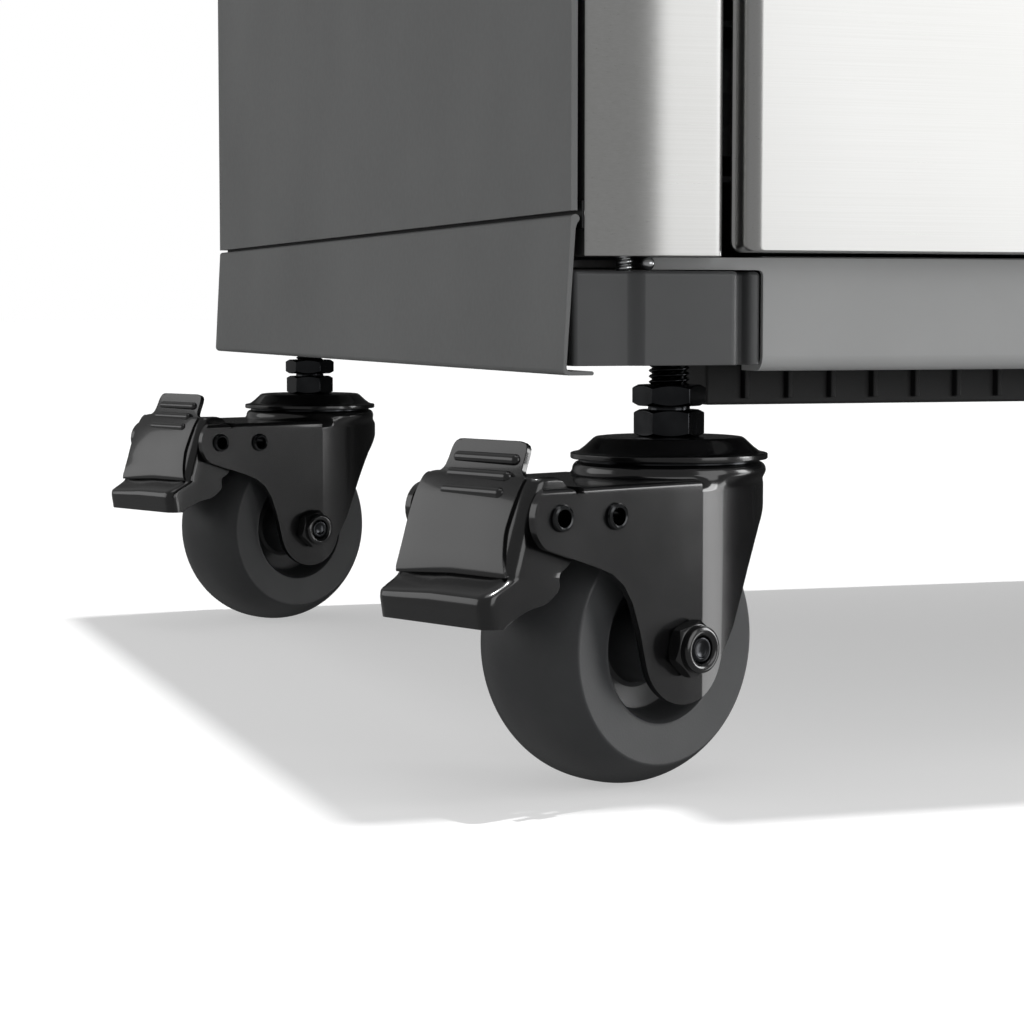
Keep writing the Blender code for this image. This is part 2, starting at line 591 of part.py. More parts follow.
def build_casters(materials, parent):
    patterns = {name: finish(make(), colour, materials, smooth) for name, make, colour, smooth in CASTER_PIECES}
    origins = {"wheel": Vector((TRAIL, 0, WHEEL_RADIUS)), "axle": Vector((TRAIL, 0, WHEEL_RADIUS)),
               "pedal": PEDAL_PIVOT}
    patterns["pedal"].data.transform(Matrix.Translation(-PEDAL_PIVOT))
    for corner, place, turn in caster_places():
        axis = bpy.data.objects.new(f"swivel_axis_{corner}", None)
        bpy.context.collection.objects.link(axis)
        axis.parent = parent
        axis.location = place
        axis.rotation_euler.z = turn
        for name, pattern in patterns.items():
            copy = bpy.data.objects.new(f"caster_{corner}_{name}", pattern.data)
            bpy.context.collection.objects.link(copy)
            copy.parent = axis
            copy.location = origins.get(name, Vector())
    for pattern in patterns.values():
        bpy.data.objects.remove(pattern, do_unlink=True)


def build_cabinet(materials, parent):
    rows = drawer_rows()
    pieces = []

    def keep(piece, colour, smooth=False):
        pieces.append(finish(piece, colour, materials, smooth))
        return piece

    skirt = keep(left_skirt(), "shell_paint", True)
    panel = keep(left_side_panel(), "shell_paint")
    column = keep(left_column(), "stainless", True)
    liner = keep(left_slide_liner(rows), "zinc_steel")
    for piece, name in ((skirt, "right_skirt"), (panel, "right_side_panel"), (column, "right_column"),
                        (liner, "right_slide_liner")):
        pieces.append(mirrored(piece, name))
    left = -WIDTH / 2 + BLOCK_INSET
    for row, front, stem in (("front", FRONT_Y, FRONT_STEM), ("rear", BACK_Y - BLOCK_DEPTH, REAR_STEM)):
        block = keep(corner_block(f"corner_block_{row}_left", stem, front, left), "black_plastic")
        pieces.append(mirrored(block, f"corner_block_{row}_right"))
    keep(base_rail(), "rail_paint", True)
    keep(base_pan(), "shell_paint")
    keep(floor_brace(), "black_plastic")
    keep(back_panel(), "shell_paint")
    keep(top_panel(), "shell_paint")
    keep(top_mat(), "rubber_mat")
    keep(lock_cylinder(), "aluminium", True)
    keep(push_handle(), "stainless", True)
    for number, (bottom, height) in enumerate(rows, 1):
        keep(drawer_box(number, bottom, height), "zinc_steel")
        keep(drawer_front(number, bottom, height), "stainless", True)
        keep(drawer_pull(number, bottom, height), "aluminium", True)
    for piece in pieces:
        piece.parent = parent


def main():
    clear_scene()
    materials = {name: make_material(name, *values) for name, values in FINISHES.items()}
    cabinet = bpy.data.objects.new("cabinet_origin", None)
    bpy.context.collection.objects.link(cabinet)
    cabinet.location.x = CABINET_SHIFT_X
    build_cabinet(materials, cabinet)
    build_casters(materials, cabinet)
    bpy.context.view_layer.update()


main()
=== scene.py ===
# %% [markdown]
# # A rolling tool chest
# This is a steel cabinet with four drawers on four swivel casters. The solid model that MuJoCo moves is loaded
# first, as a fixed frame. Everything after that is about looks: each piece gets the finish of the real material,
# and the pieces whose real shape is finer than the frame's are built again in detail and ride on the same bodies.

# %% Load the frame
import json
import math

import bmesh
import bpy
import numpy as np
from mathutils import Matrix, Vector

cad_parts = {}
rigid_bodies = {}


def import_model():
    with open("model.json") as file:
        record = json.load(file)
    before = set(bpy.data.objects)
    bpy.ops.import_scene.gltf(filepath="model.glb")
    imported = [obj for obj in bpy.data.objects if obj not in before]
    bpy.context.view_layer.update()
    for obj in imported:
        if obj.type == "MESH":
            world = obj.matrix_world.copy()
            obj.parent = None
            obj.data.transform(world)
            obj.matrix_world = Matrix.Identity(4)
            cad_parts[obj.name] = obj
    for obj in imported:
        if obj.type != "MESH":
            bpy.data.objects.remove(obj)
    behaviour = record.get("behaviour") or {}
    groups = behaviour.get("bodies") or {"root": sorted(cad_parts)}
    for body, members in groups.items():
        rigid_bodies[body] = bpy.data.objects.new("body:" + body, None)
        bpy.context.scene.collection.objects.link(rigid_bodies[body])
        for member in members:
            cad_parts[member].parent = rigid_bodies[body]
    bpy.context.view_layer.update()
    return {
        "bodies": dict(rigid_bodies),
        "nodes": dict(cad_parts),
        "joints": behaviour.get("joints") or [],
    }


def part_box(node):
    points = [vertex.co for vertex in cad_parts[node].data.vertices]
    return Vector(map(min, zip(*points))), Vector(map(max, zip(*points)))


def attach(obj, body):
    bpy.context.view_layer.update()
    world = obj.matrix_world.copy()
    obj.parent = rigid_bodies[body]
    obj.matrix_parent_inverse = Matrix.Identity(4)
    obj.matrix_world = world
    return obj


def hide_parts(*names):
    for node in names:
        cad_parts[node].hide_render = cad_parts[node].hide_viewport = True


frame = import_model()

MM = 0.001

# %% [markdown]
# ## Colours and nodes
# A paint chart gives colours as sRGB hex codes, but a shader works with linear light, so one function converts them.
# Materials here are small node trees. One helper adds a node, sets its properties and values, and links its inputs,
# which keeps each material short enough to read in one go.

# %% Colour and node helpers


def linear(code):
    """A hex colour such as #8f9193 as linear red, green, blue and alpha."""
    shares = [int(code[i:i + 2], 16) / 255 for i in (1, 3, 5)]
    return (*[s / 12.92 if s <= 0.04045 else ((s + 0.055) / 1.055) ** 2.4 for s in shares], 1.0)


def add(tree, kind, links=None, values=None, **properties):
    """Adds one shader node: its properties, the values of its inputs, and what is linked into them."""
    made = tree.nodes.new("ShaderNode" + kind)
    for name, value in properties.items():
        setattr(made, name, value)
    for name, value in (values or {}).items():
        made.inputs[name].default_value = value
    for name, socket in (links or {}).items():
        tree.links.new(socket, made.inputs[name])
    return made


def per_mm(size):
    """The texture scale at which a pattern repeats about every size millimetres."""
    return 1 / (size * MM)


def new_material(name, **values):
    """A material with its Principled shader set, and its tree ready for a pattern."""
    material = bpy.data.materials.new(name)
    material.use_nodes = True
    tree = material.node_tree
    shader = tree.nodes["Principled BSDF"]
    for socket, value in values.items():
        shader.inputs[socket.replace("_", " ")].default_value = value
    place = add(tree, "TexCoord").outputs["Object"]
    return material, tree, shader, place


def two_tone(tree, shader, factor, dark, light):
    """The base colour runs from dark to light with a pattern."""
    ramp = add(tree, "ValToRGB", {"Fac": factor})
    ramp.color_ramp.elements[0].color = linear(dark)
    ramp.color_ramp.elements[1].color = linear(light)
    ramp.color_ramp.elements[0].position = 0.3
    ramp.color_ramp.elements[1].position = 0.7
    tree.links.new(ramp.outputs["Color"], shader.inputs["Base Color"])


def uneven_gloss(tree, shader, factor, low, high):
    """The roughness runs from low to high with a pattern."""
    spread = add(tree, "MapRange", {"Value": factor}, {"To Min": low, "To Max": high})
    tree.links.new(spread.outputs["Result"], shader.inputs["Roughness"])


def relief(tree, shader, height, depth, strength=1.0):
    """A bump of that many millimetres."""
    bump = add(tree, "Bump", {"Height": height}, {"Distance": depth * MM, "Strength": strength})
    tree.links.new(bump.outputs["Normal"], shader.inputs["Normal"])


# %% [markdown]
# ## Powder coat
# The shell is steel sheet with a baked powder coat. Powder is sprayed dry and melts in an oven, so it levels almost
# flat but keeps a faint orange peel a millimetre or two across, which breaks up reflections a little. The sides are
# charcoal, the base rail is a lighter grey. Both are the same finish, so one function makes both.

# %% Powder coat


def powder_coat(name, dark, light, roughness):
    material, tree, shader, place = new_material(name, Roughness=roughness, Metallic=0.0, IOR=1.5)
    peel = add(tree, "TexNoise", {"Vector": place}, {"Scale": per_mm(1.6), "Detail": 2.0})
    speck = add(tree, "TexNoise", {"Vector": place}, {"Scale": per_mm(60), "Detail": 4.0})
    two_tone(tree, shader, speck.outputs["Fac"], dark, light)
    uneven_gloss(tree, shader, peel.outputs["Fac"], roughness - 0.05, roughness + 0.06)
    relief(tree, shader, peel.outputs["Fac"], 0.02, 0.5)
    return material


CHARCOAL_POWDER_COAT = powder_coat("charcoal_powder_coat", "#6f7070", "#777878", 0.42)
GREY_POWDER_COAT = powder_coat("light_grey_powder_coat", "#a8a9a9", "#b1b2b2", 0.45)
print("powder coats:", CHARCOAL_POWDER_COAT.name, GREY_POWDER_COAT.name)

# %% [markdown]
# ## Brushed stainless steel
# The drawer faces and columns are stainless sheet, drawn under an abrasive belt. The belt leaves scratches about
# a tenth of a millimetre apart that all run one way. They are drawn here about three times as coarse, so that they
# show. A noise that is stretched a hundred times along the brushing direction gives such lines. Stretching the
# texture is simpler than drawing lines, and it never repeats. The scratches also spread the reflection across
# themselves, which the anisotropy does.

# %% Brushed stainless


def brushed(name, dark, light, roughness, along, spacing, length):
    """Metal with parallel scratches: along is the axis they follow, spacing and length are in millimetres."""
    material, tree, shader, place = new_material(name, Roughness=roughness, Metallic=1.0, Anisotropic=0.4)
    scale = [per_mm(spacing)] * 3
    scale["xyz".index(along)] = per_mm(length)
    stretched = add(tree, "Mapping", {"Vector": place}, {"Scale": scale})
    lines = add(tree, "TexNoise", {"Vector": stretched.outputs["Vector"]}, {"Scale": 1.0, "Detail": 3.0})
    cloud = add(tree, "TexNoise", {"Vector": place}, {"Scale": per_mm(90), "Detail": 2.0})
    mixed = add(tree, "Math", {0: lines.outputs["Fac"], 1: cloud.outputs["Fac"]}, operation="ADD")
    halved = add(tree, "Math", {0: mixed.outputs["Value"]}, {1: 0.5}, operation="MULTIPLY")
    two_tone(tree, shader, halved.outputs["Value"], dark, light)
    uneven_gloss(tree, shader, lines.outputs["Fac"], roughness - 0.02, roughness + 0.03)
    return material


STAINLESS_ACROSS = brushed("brushed_stainless_across", "#c0c0be", "#cccccb", 0.28, "x", 0.26, 60)
STAINLESS_UPRIGHT = brushed("brushed_stainless_upright", "#bdbdbb", "#d0d0ce", 0.27, "z", 0.3, 40)
print("brushed:", STAINLESS_ACROSS.name, STAINLESS_UPRIGHT.name)

# %% [markdown]
# ## Anodised aluminium
# The drawer pulls are aluminium extrusions, satin anodised. Extrusion leaves fine die lines along the length, and
# anodising adds a clear hard skin, so the gloss is soft and even. The same brushing function serves, with finer and
# longer lines.

# %% Anodised aluminium
ANODISED_ALUMINIUM = brushed("satin_anodised_aluminium", "#c9cbcd", "#d5d7d9", 0.26, "x", 0.2, 120)
print("extrusion:", ANODISED_ALUMINIUM.name)

# %% [markdown]
# ## Gloss black enamel
# The caster's fork, cap and pedal are pressed steel, dipped and stoved in black enamel. Enamel is thick and wets
# out to a mirror, with long soft waves rather than a grain. A clear coat over a black base gives the sharp
# highlight along each bend.

# %% Gloss enamel


def gloss_enamel(name, dark, light, roughness):
    material, tree, shader, place = new_material(
        name, Roughness=roughness, Metallic=0.0, IOR=1.5, Coat_Weight=0.5, Coat_Roughness=0.05)
    wave = add(tree, "TexNoise", {"Vector": place}, {"Scale": per_mm(7), "Detail": 1.0})
    haze = add(tree, "TexNoise", {"Vector": place}, {"Scale": per_mm(14), "Detail": 5.0})
    two_tone(tree, shader, haze.outputs["Fac"], dark, light)
    uneven_gloss(tree, shader, haze.outputs["Fac"], roughness - 0.04, roughness + 0.08)
    relief(tree, shader, wave.outputs["Fac"], 0.05, 0.35)
    return material


BLACK_ENAMEL = gloss_enamel("gloss_black_enamel", "#0a0a0b", "#101011", 0.17)
print("enamel:", BLACK_ENAMEL.name)

# %% [markdown]
# ## Plated and galvanised steel
# Small fasteners are plated: the caster's stem and nuts in black passivated zinc, its rivets in black nickel, and the
# screws in bright zinc. The drawer boxes and slides are galvanised sheet, whose zinc freezes in crystals, called
# spangle, five to ten millimetres across. A Voronoi texture gives each crystal its own tone.

# %% Plated steel


def plated(name, dark, light, roughness, grain):
    material, tree, shader, place = new_material(name, Roughness=roughness, Metallic=1.0)
    tarnish = add(tree, "TexNoise", {"Vector": place}, {"Scale": per_mm(grain), "Detail": 4.0})
    two_tone(tree, shader, tarnish.outputs["Fac"], dark, light)
    uneven_gloss(tree, shader, tarnish.outputs["Fac"], roughness - 0.06, roughness + 0.1)
    return material


def galvanised(name, dark, light, roughness, spangle):
    material, tree, shader, place = new_material(name, Roughness=roughness, Metallic=0.9)
    crystals = add(tree, "TexVoronoi", {"Vector": place}, {"Scale": per_mm(spangle)})
    tone = add(tree, "SeparateColor", {"Color": crystals.outputs["Color"]})
    two_tone(tree, shader, tone.outputs["Red"], dark, light)
    uneven_gloss(tree, shader, tone.outputs["Green"], roughness - 0.06, roughness + 0.06)
    return material


BLACK_ZINC = plated("black_passivated_zinc", "#2c2d2f", "#38393b", 0.15, 5)
NICKEL = plated("black_nickel_plate", "#3a3b3c", "#48494a", 0.17, 6)
BRIGHT_ZINC = plated("bright_zinc_plate", "#cacccd", "#dcddde", 0.22, 3)
GALVANISED_SHEET = galvanised("galvanised_sheet", "#85888b", "#9b9ea1", 0.42, 7)
print("plated:", BLACK_ZINC.name, NICKEL.name, BRIGHT_ZINC.name, GALVANISED_SHEET.name)

# %% [markdown]
# ## Moulded plastics and rubber
# The corner blocks and the floor brace are glass-filled nylon, moulded against an etched tool, which leaves a fine matt
# grain of about a third of a millimetre. The wheels are solid polyurethane: smoother and a little silky, with
# a scuffed tread. The mat is soft PVC. They differ in grain, gloss and colour, so one function makes all of them.

# %% Moulded finishes


def moulded(name, dark, light, roughness, grain, depth):
    material, tree, shader, place = new_material(name, Roughness=roughness, Metallic=0.0, IOR=1.5)
    etch = add(tree, "TexNoise", {"Vector": place}, {"Scale": per_mm(grain), "Detail": 2.0})
    flow = add(tree, "TexNoise", {"Vector": place}, {"Scale": per_mm(25), "Detail": 3.0})
    two_tone(tree, shader, flow.outputs["Fac"], dark, light)
    uneven_gloss(tree, shader, etch.outputs["Fac"], roughness - 0.07, roughness + 0.07)
    relief(tree, shader, etch.outputs["Fac"], depth, 0.6)
    return material


GREY_NYLON = moulded("moulded_grey_nylon", "#4a4b4c", "#515253", 0.4, 0.35, 0.02)
BLACK_NYLON = moulded("moulded_black_nylon", "#0f1011", "#141516", 0.5, 0.35, 0.02)
POLYURETHANE = moulded("moulded_polyurethane", "#37383a", "#434445", 0.45, 0.45, 0.03)
PVC_MAT = moulded("ribbed_pvc_mat", "#161617", "#1d1d1e", 0.75, 0.6, 0.04)
print("moulded:", GREY_NYLON.name, BLACK_NYLON.name, POLYURETHANE.name, PVC_MAT.name)

# %% [markdown]
# ## Making meshes
# Most pieces here are pressed, turned or extruded, so three makers cover nearly all of them: an outline pushed
# along an axis, a profile turned about an axis, and rows of points for freely curved sheet. Real edges are
# never razor sharp, so most pieces get a small bevel that catches the light. The bevel and the cuts are
# modifiers, baked into the mesh at once, so that four casters can share one mesh.

# %% Mesh helpers


def arc(centre, radius, start, end, steps):
    """Points on a circle from one angle to another, in degrees."""
    angles = [math.radians(start + (end - start) * i / steps) for i in range(steps + 1)]
    return [(centre[0] + radius * math.cos(t), centre[1] + radius * math.sin(t)) for t in angles]


def rounded(points, radius, steps=5):
    """An outline with its corners rounded."""
    out = []
    for i, here in enumerate(points):
        here, before, after = Vector(here), Vector(points[i - 1]), Vector(points[(i + 1) % len(points)])
        size = radius[i] if isinstance(radius, (list, tuple)) else radius
        to_before, to_after = (before - here).normalized(), (after - here).normalized()
        corner = to_before.angle(to_after)
        if size <= 0 or corner > math.radians(176):
            out.append(tuple(here))
            continue
        reach = min(size / math.tan(corner / 2), 0.49 * (before - here).length, 0.49 * (after - here).length)
        start, end = here + to_before * reach, here + to_after * reach
        for k in range(steps + 1):
            t = k / steps
            out.append(tuple((1 - t) ** 2 * start + 2 * t * (1 - t) * here + t ** 2 * end))
    return out


def prism(outline, start, end, axis="z"):
    """A closed outline pushed along an axis, as a bmesh."""
    place = {"x": lambda p, q, t: (t, p, q), "y": lambda p, q, t: (p, t, q), "z": lambda p, q, t: (p, q, t)}[axis]
    bm = bmesh.new()
    face = bm.faces.new([bm.verts.new(place(p, q, start)) for p, q in outline])
    grown = bmesh.ops.extrude_face_region(bm, geom=[face])["geom"]
    shift = Vector(place(0, 0, end - start))
    bmesh.ops.translate(bm, verts=[g for g in grown if isinstance(g, bmesh.types.BMVert)], vec=shift)
    bmesh.ops.recalc_face_normals(bm, faces=bm.faces)
    return bm


def block(low, high):
    """A rectangular block between two corners, as a bmesh."""
    return prism([(low[0], low[1]), (high[0], low[1]), (high[0], high[1]), (low[0], high[1])], low[2], high[2])


def turned(profile, steps=64, axis="z"):
    """A profile of (radius, height) points turned about an axis, as a bmesh."""
    bm = bmesh.new()
    points = [bm.verts.new((radius, 0, height)) for radius, height in profile]
    edges = [bm.edges.new((points[i], points[i + 1])) for i in range(len(points) - 1)]
    bmesh.ops.spin(bm, geom=points + edges, cent=(0, 0, 0), axis=(0, 0, 1), angle=2 * math.pi,
                   steps=steps, use_merge=True)
    bmesh.ops.remove_doubles(bm, verts=bm.verts, dist=1e-6)
    turn = {"z": Matrix(), "y": Matrix.Rotation(-math.pi / 2, 3, "X"), "x": Matrix.Rotation(math.pi / 2, 3, "Y")}
    bmesh.ops.rotate(bm, verts=bm.verts, matrix=turn[axis].to_3x3())
    bmesh.ops.recalc_face_normals(bm, faces=bm.faces)
    return bm


def skin(bm, rows):
    """Faces between open rows of points."""
    for upper, lower in zip(rows, rows[1:]):
        for j in range(len(upper) - 1):
            bm.faces.new((upper[j], lower[j], lower[j + 1], upper[j + 1]))
    return bm


def skin_round(bm, rings):
    """Faces between rings of points, each closed on itself."""
    for first, second in zip(rings, rings[1:]):
        for j in range(len(first)):
            k = (j + 1) % len(first)
            bm.faces.new((first[j], first[k], second[k], second[j]))
    return bm


def soften_top(bm, height, width, segments):
    """Rounds the top rim of a prism."""
    rim = [e for e in bm.edges if all(v.co.z > height - 0.01 * MM for v in e.verts)]
    bmesh.ops.bevel(bm, geom=rim, offset=width, segments=segments, profile=0.5, affect="EDGES")
    return bm


def moved(bm, offset):
    bmesh.ops.translate(bm, verts=bm.verts, vec=offset)
    return bm


def temporary(bm):
    mesh = bpy.data.meshes.new("work")
    bm.to_mesh(mesh)
    bm.free()
    thing = bpy.data.objects.new("work", mesh)
    bpy.context.collection.objects.link(thing)
    return thing


def bake(thing):
    """The object's mesh with its modifiers applied; the object itself is removed."""
    graph = bpy.context.evaluated_depsgraph_get()
    mesh = bpy.data.meshes.new_from_object(thing.evaluated_get(graph))
    bpy.data.objects.remove(thing, do_unlink=True)
    return mesh


def smoothed(mesh, angle):
    """Smooth shading that keeps big flat faces flat: each corner's normal follows its largest face."""
    mesh.shade_smooth()
    mesh.set_sharp_from_angle(angle=math.radians(angle))
    thing = bpy.data.objects.new("work", mesh)
    bpy.context.collection.objects.link(thing)
    weighted = thing.modifiers.new("flat", "WEIGHTED_NORMAL")
    weighted.weight, weighted.keep_sharp = 90, True
    return bake(thing)


def shaped(bm, edge=0.25, segments=2, cut=(), join=(), keep=(), sheet=None, sharp=32):
    """Bakes a bmesh into a finished mesh: sheet thickness, cuts and joins, then a bevel of edge millimetres."""
    thing = temporary(bm)
    if sheet:
        solid = thing.modifiers.new("sheet", "SOLIDIFY")
        solid.thickness, solid.offset = sheet * MM, -1
    tools = []
    for operation, group in (("UNION", join), ("INTERSECT", keep), ("DIFFERENCE", cut)):
        for tool_bm in group:
            tool = temporary(tool_bm)
            tools.append(tool)
            boolean = thing.modifiers.new(operation.lower(), "BOOLEAN")
            boolean.operation, boolean.object = operation, tool
    if edge:
        soft = thing.modifiers.new("edge", "BEVEL")
        soft.width, soft.segments = edge * MM, segments
        soft.limit_method, soft.angle_limit = "ANGLE", math.radians(sharp)
    mesh = bake(thing)
    for tool in tools:
        bpy.data.objects.remove(tool, do_unlink=True)
    return smoothed(mesh, sharp + 6)


def show(name, mesh, material, body, place=None, replaces=()):
    """Puts a finished mesh in the scene, riding on a body."""
    thing = bpy.data.objects.new(name, mesh)
    bpy.context.collection.objects.link(thing)
    if not mesh.materials:
        mesh.materials.append(material)
    if place is not None:
        thing.matrix_world = place
    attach(thing, body)
    if replaces:
        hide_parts(*replaces)
    return thing


print("mesh helpers ready")

# %% [markdown]
# ## Where the casters stand
# Each caster is built once, in its own frame: X towards the pedal, Y along the axle, Z up from the floor. The
# frame's joints say where each swivel axis is, and the pedal's joint says which way the caster points, so a
# rotation and a shift put a copy in each corner.

# %% Caster places
JOINTS = {joint["name"]: joint for joint in frame["joints"]}
CORNERS = [body.removeprefix("swivel_") for body in frame["bodies"] if body.startswith("swivel_")]


def caster_place(corner):
    swivel = Vector(JOINTS[f"{corner}_swivel"]["pos_m"])
    pedal = Vector(JOINTS[f"{corner}_pedal_press"]["pos_m"])
    turn = math.atan2(pedal.y - swivel.y, pedal.x - swivel.x)
    return Matrix.Translation((swivel.x, swivel.y, 0)) @ Matrix.Rotation(turn, 4, "Z")


PLACES = {corner: caster_place(corner) for corner in CORNERS}
FIRST = PLACES[CORNERS[0]].inverted()
AXLE = FIRST @ Vector(JOINTS[f"{CORNERS[0]}_wheel_spin"]["pos_m"])
PIVOT = FIRST @ Vector(JOINTS[f"{CORNERS[0]}_pedal_press"]["pos_m"])
print("casters at", CORNERS)
print("axle", [round(c / MM, 1) for c in AXLE], "pivot", [round(c / MM, 1) for c in PIVOT])


CASTER_PIECES = bpy.data.collections.new("caster_pieces")


def on_each_caster(piece, mesh, material, body, node=None):
    """One copy of a caster piece in each corner; node is the frame piece that it stands for."""
    for corner, place in PLACES.items():
        home = "root" if body == "root" else f"{body}_{corner}"
        replaced = [f"caster_{corner}_{node}"] if node else []
        CASTER_PIECES.objects.link(show(f"{piece}_{corner}", mesh, material, home, place, replaced))


# %% [markdown]
# ## Fork
# The fork is one pressing: a hood that is round at the back, flat cheeks that reach down to the axle, an arm
# with an ear on each side for the pedal, and a raised ring on top for the ball race. It could be bent from a flat
# sheet, but the real one is drawn in a press. So the outer form is a hood whose plan changes from D-shaped to round,
# joined to a straight-sided arm. It is hollowed by a slightly smaller solid and trimmed by its side view.

# %% Fork
HOOD = 22.0 * MM
WALL = 1.8 * MM
FORK_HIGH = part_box("caster_front_left_fork")[1].z
RING_TOP = FORK_HIGH + 0.6 * MM
ARM_TOP = FORK_HIGH - 2.4 * MM
RING_RADIUS = 22.2 * MM
BACK_CENTRE = 20.9 * MM
BACK_REACH = 46.8 * MM
BACK_HALF = 22.5 * MM
CREASE = math.acos(HOOD / BACK_HALF)


def side_view():
    """The fork seen from the side, as (forward, up) points."""
    back = [(-28, 76), (-28, 67.4), (-19.6, 61.2), (-14.5, 57.3), (-11.8, 54.2), (-9.6, 51.2), (-7.6, 48.2),
            (-5.6, 44.8), (-3.4, 40.8), (-0.6, 35.6)]
    points = [(p * MM, q * MM) for p, q in back]
    points += arc((AXLE.x, AXLE.z), 12.6 * MM, 196, 345, 22)
    front = [(30.8, 37.5), (33.0, 43.6), (35.6, 47.6), (39.0, 50.2), (43.0, 51.8), (57.4, 56.4)]
    points += [(p * MM, q * MM) for p, q in rounded(front, [0, 2, 3, 3, 2, 0], 3)]
    points += arc((PIVOT.x, PIVOT.z), 7.6 * MM, -60, 96, 18)
    points += arc((48.6 * MM, 68.6 * MM), 1.3 * MM, 0, -180, 8)
    points += [(47.2 * MM, 76 * MM)]
    return points


def d_plan(thinner, reach, steps=48):
    """Plan of the hood: flat cheeks, and part of an ellipse round the back."""
    turn = [CREASE + (math.pi - 2 * CREASE) * i / steps for i in range(steps + 1)]
    back = [(BACK_CENTRE - (BACK_REACH - thinner) * math.sin(t), (BACK_HALF - thinner) * math.cos(t)) for t in turn]
    return back + [(reach, back[-1][1]), (reach, back[0][1])]


def hood_radius(c, si):
    """How far the hood's plan reaches in the direction (c, si)."""
    square = (c / BACK_REACH) ** 2 + (si / BACK_HALF) ** 2
    half = -c * BACK_CENTRE / BACK_REACH ** 2
    rest = (BACK_CENTRE / BACK_REACH) ** 2 - 1
    ellipse = (-half + math.sqrt(half * half - square * rest)) / square
    return min(HOOD / max(abs(si), 0.01), ellipse, 26 * MM)


def hood(steps=120):
    """The hood with the race housing on top: its plan changes smoothly from D-shaped to round."""
    bm = bmesh.new()
    rows = []
    foot = ARM_TOP - 2.6 * MM
    corner = 1.9 * MM
    levels = [(14 * MM, 0, 0)]
    levels += [(foot + (RING_TOP - corner - foot) * k / 8, (k / 8) ** 2 * (3 - k / 4), 0) for k in range(9)]
    for a in (15, 30, 45, 60, 75, 90):
        turn = math.radians(a)
        levels.append((RING_TOP - corner + corner * math.sin(turn), 1, corner * (1 - math.cos(turn))))
    for height, rise, drawn_in in levels:
        row = []
        for i in range(steps):
            c, si = math.cos(2 * math.pi * i / steps), math.sin(2 * math.pi * i / steps)
            radius = hood_radius(c, si) * (1 - rise) + RING_RADIUS * rise - drawn_in
            row.append(bm.verts.new((radius * c, radius * si, height)))
        rows.append(row)
    skin_round(bm, rows)
    bm.faces.new(list(reversed(rows[0])))
    bm.faces.new(rows[-1])
    return bm


arm = soften_top(block((11.6 * MM, -HOOD, 14 * MM), (64 * MM, HOOD, ARM_TOP)), ARM_TOP, 1.2 * MM, 4)
inside = soften_top(prism(d_plan(WALL, 80 * MM), 5 * MM, ARM_TOP - WALL), ARM_TOP - WALL, 1.2 * MM, 3)
FAR_EAR = arc((PIVOT.x, PIVOT.z), 6.2 * MM, -58, 100, 16)
FAR_EAR += [(52 * MM, 80 * MM), (80 * MM, 80 * MM), (80 * MM, 50 * MM)]
far_ear = prism(FAR_EAR, -40 * MM, -10 * MM, "y")
ear_gaps = [block((47.2 * MM, side * 17.2 * MM - 3 * MM, 60 * MM), (80 * MM, side * 17.2 * MM + 3 * MM, 80 * MM))
            for side in (-1, 1)]
tongue_end = block((50.0 * MM, -20 * MM, 60 * MM), (80 * MM, 20 * MM, 80 * MM))
rivet_spots = [(PIVOT.x, PIVOT.z), (PIVOT.x - 15.9 * MM, PIVOT.z - 0.4 * MM)]
holes = [prism(arc(spot, 2.25 * MM, 0, 352.5, 47), -40 * MM, 40 * MM, "y") for spot in rivet_spots]
fork = shaped(hood(), 0.3, 2, join=[arm], keep=[prism(side_view(), -40 * MM, 40 * MM, "y")],
              cut=[inside, *ear_gaps, tongue_end, far_ear, *holes])
on_each_caster("fork", fork, BLACK_ENAMEL, "swivel", "fork")
print("fork:", len(fork.polygons), "faces")

# %% [markdown]
# ## Raceway cap
# The cap is the fixed upper half of the swivel bearing. It is spun from sheet: a flat crown where the stem sits,
# a hollow slope, and a thin rim that keeps dirt off the balls. A turned profile is exactly how it is made.

# %% Cap
CAP = [(0, 77.8), (15.9, 77.8), (16.8, 77.7), (17.4, 77.35), (18.2, 76.6), (19.4, 75.5), (20.6, 74.6), (21.4, 74.25),
       (22.2, 74.15), (22.6, 74.0), (22.6, 73.0), (22.4, 72.75), (21.0, 72.6), (19.6, 72.1), (0, 72.1)]
cap = shaped(turned([(r * MM, z * MM) for r, z in CAP], 96), 0.12)
on_each_caster("race_cap", cap, BLACK_ENAMEL, "root", "cap")
RACE_RING = [(17, 71.9), (20.6, 71.9), (20.6, 72.7), (17, 72.7), (17, 71.9)]
race_ring = shaped(turned([(r * MM, z * MM) for r, z in RACE_RING], 64), 0)
on_each_caster("race_ring", race_ring, BLACK_ZINC, "root")
print("cap:", len(cap.polygons), "faces")

# %% [markdown]
# ## Stem, hexagon seat and jam nut
# The stem screws up into the corner block and the jam nut locks it there. The thread is cut at a pitch of 1.3
# millimetres. It could be a screw modifier on a V profile, but moving the surface of a tube in and out with
# height and angle gives a clean helix that closes on itself, and it only has to be fine where it shows.

# %% Stem and nuts
PITCH = 1.3 * MM
STEM_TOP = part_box("caster_front_left_stem")[1].z


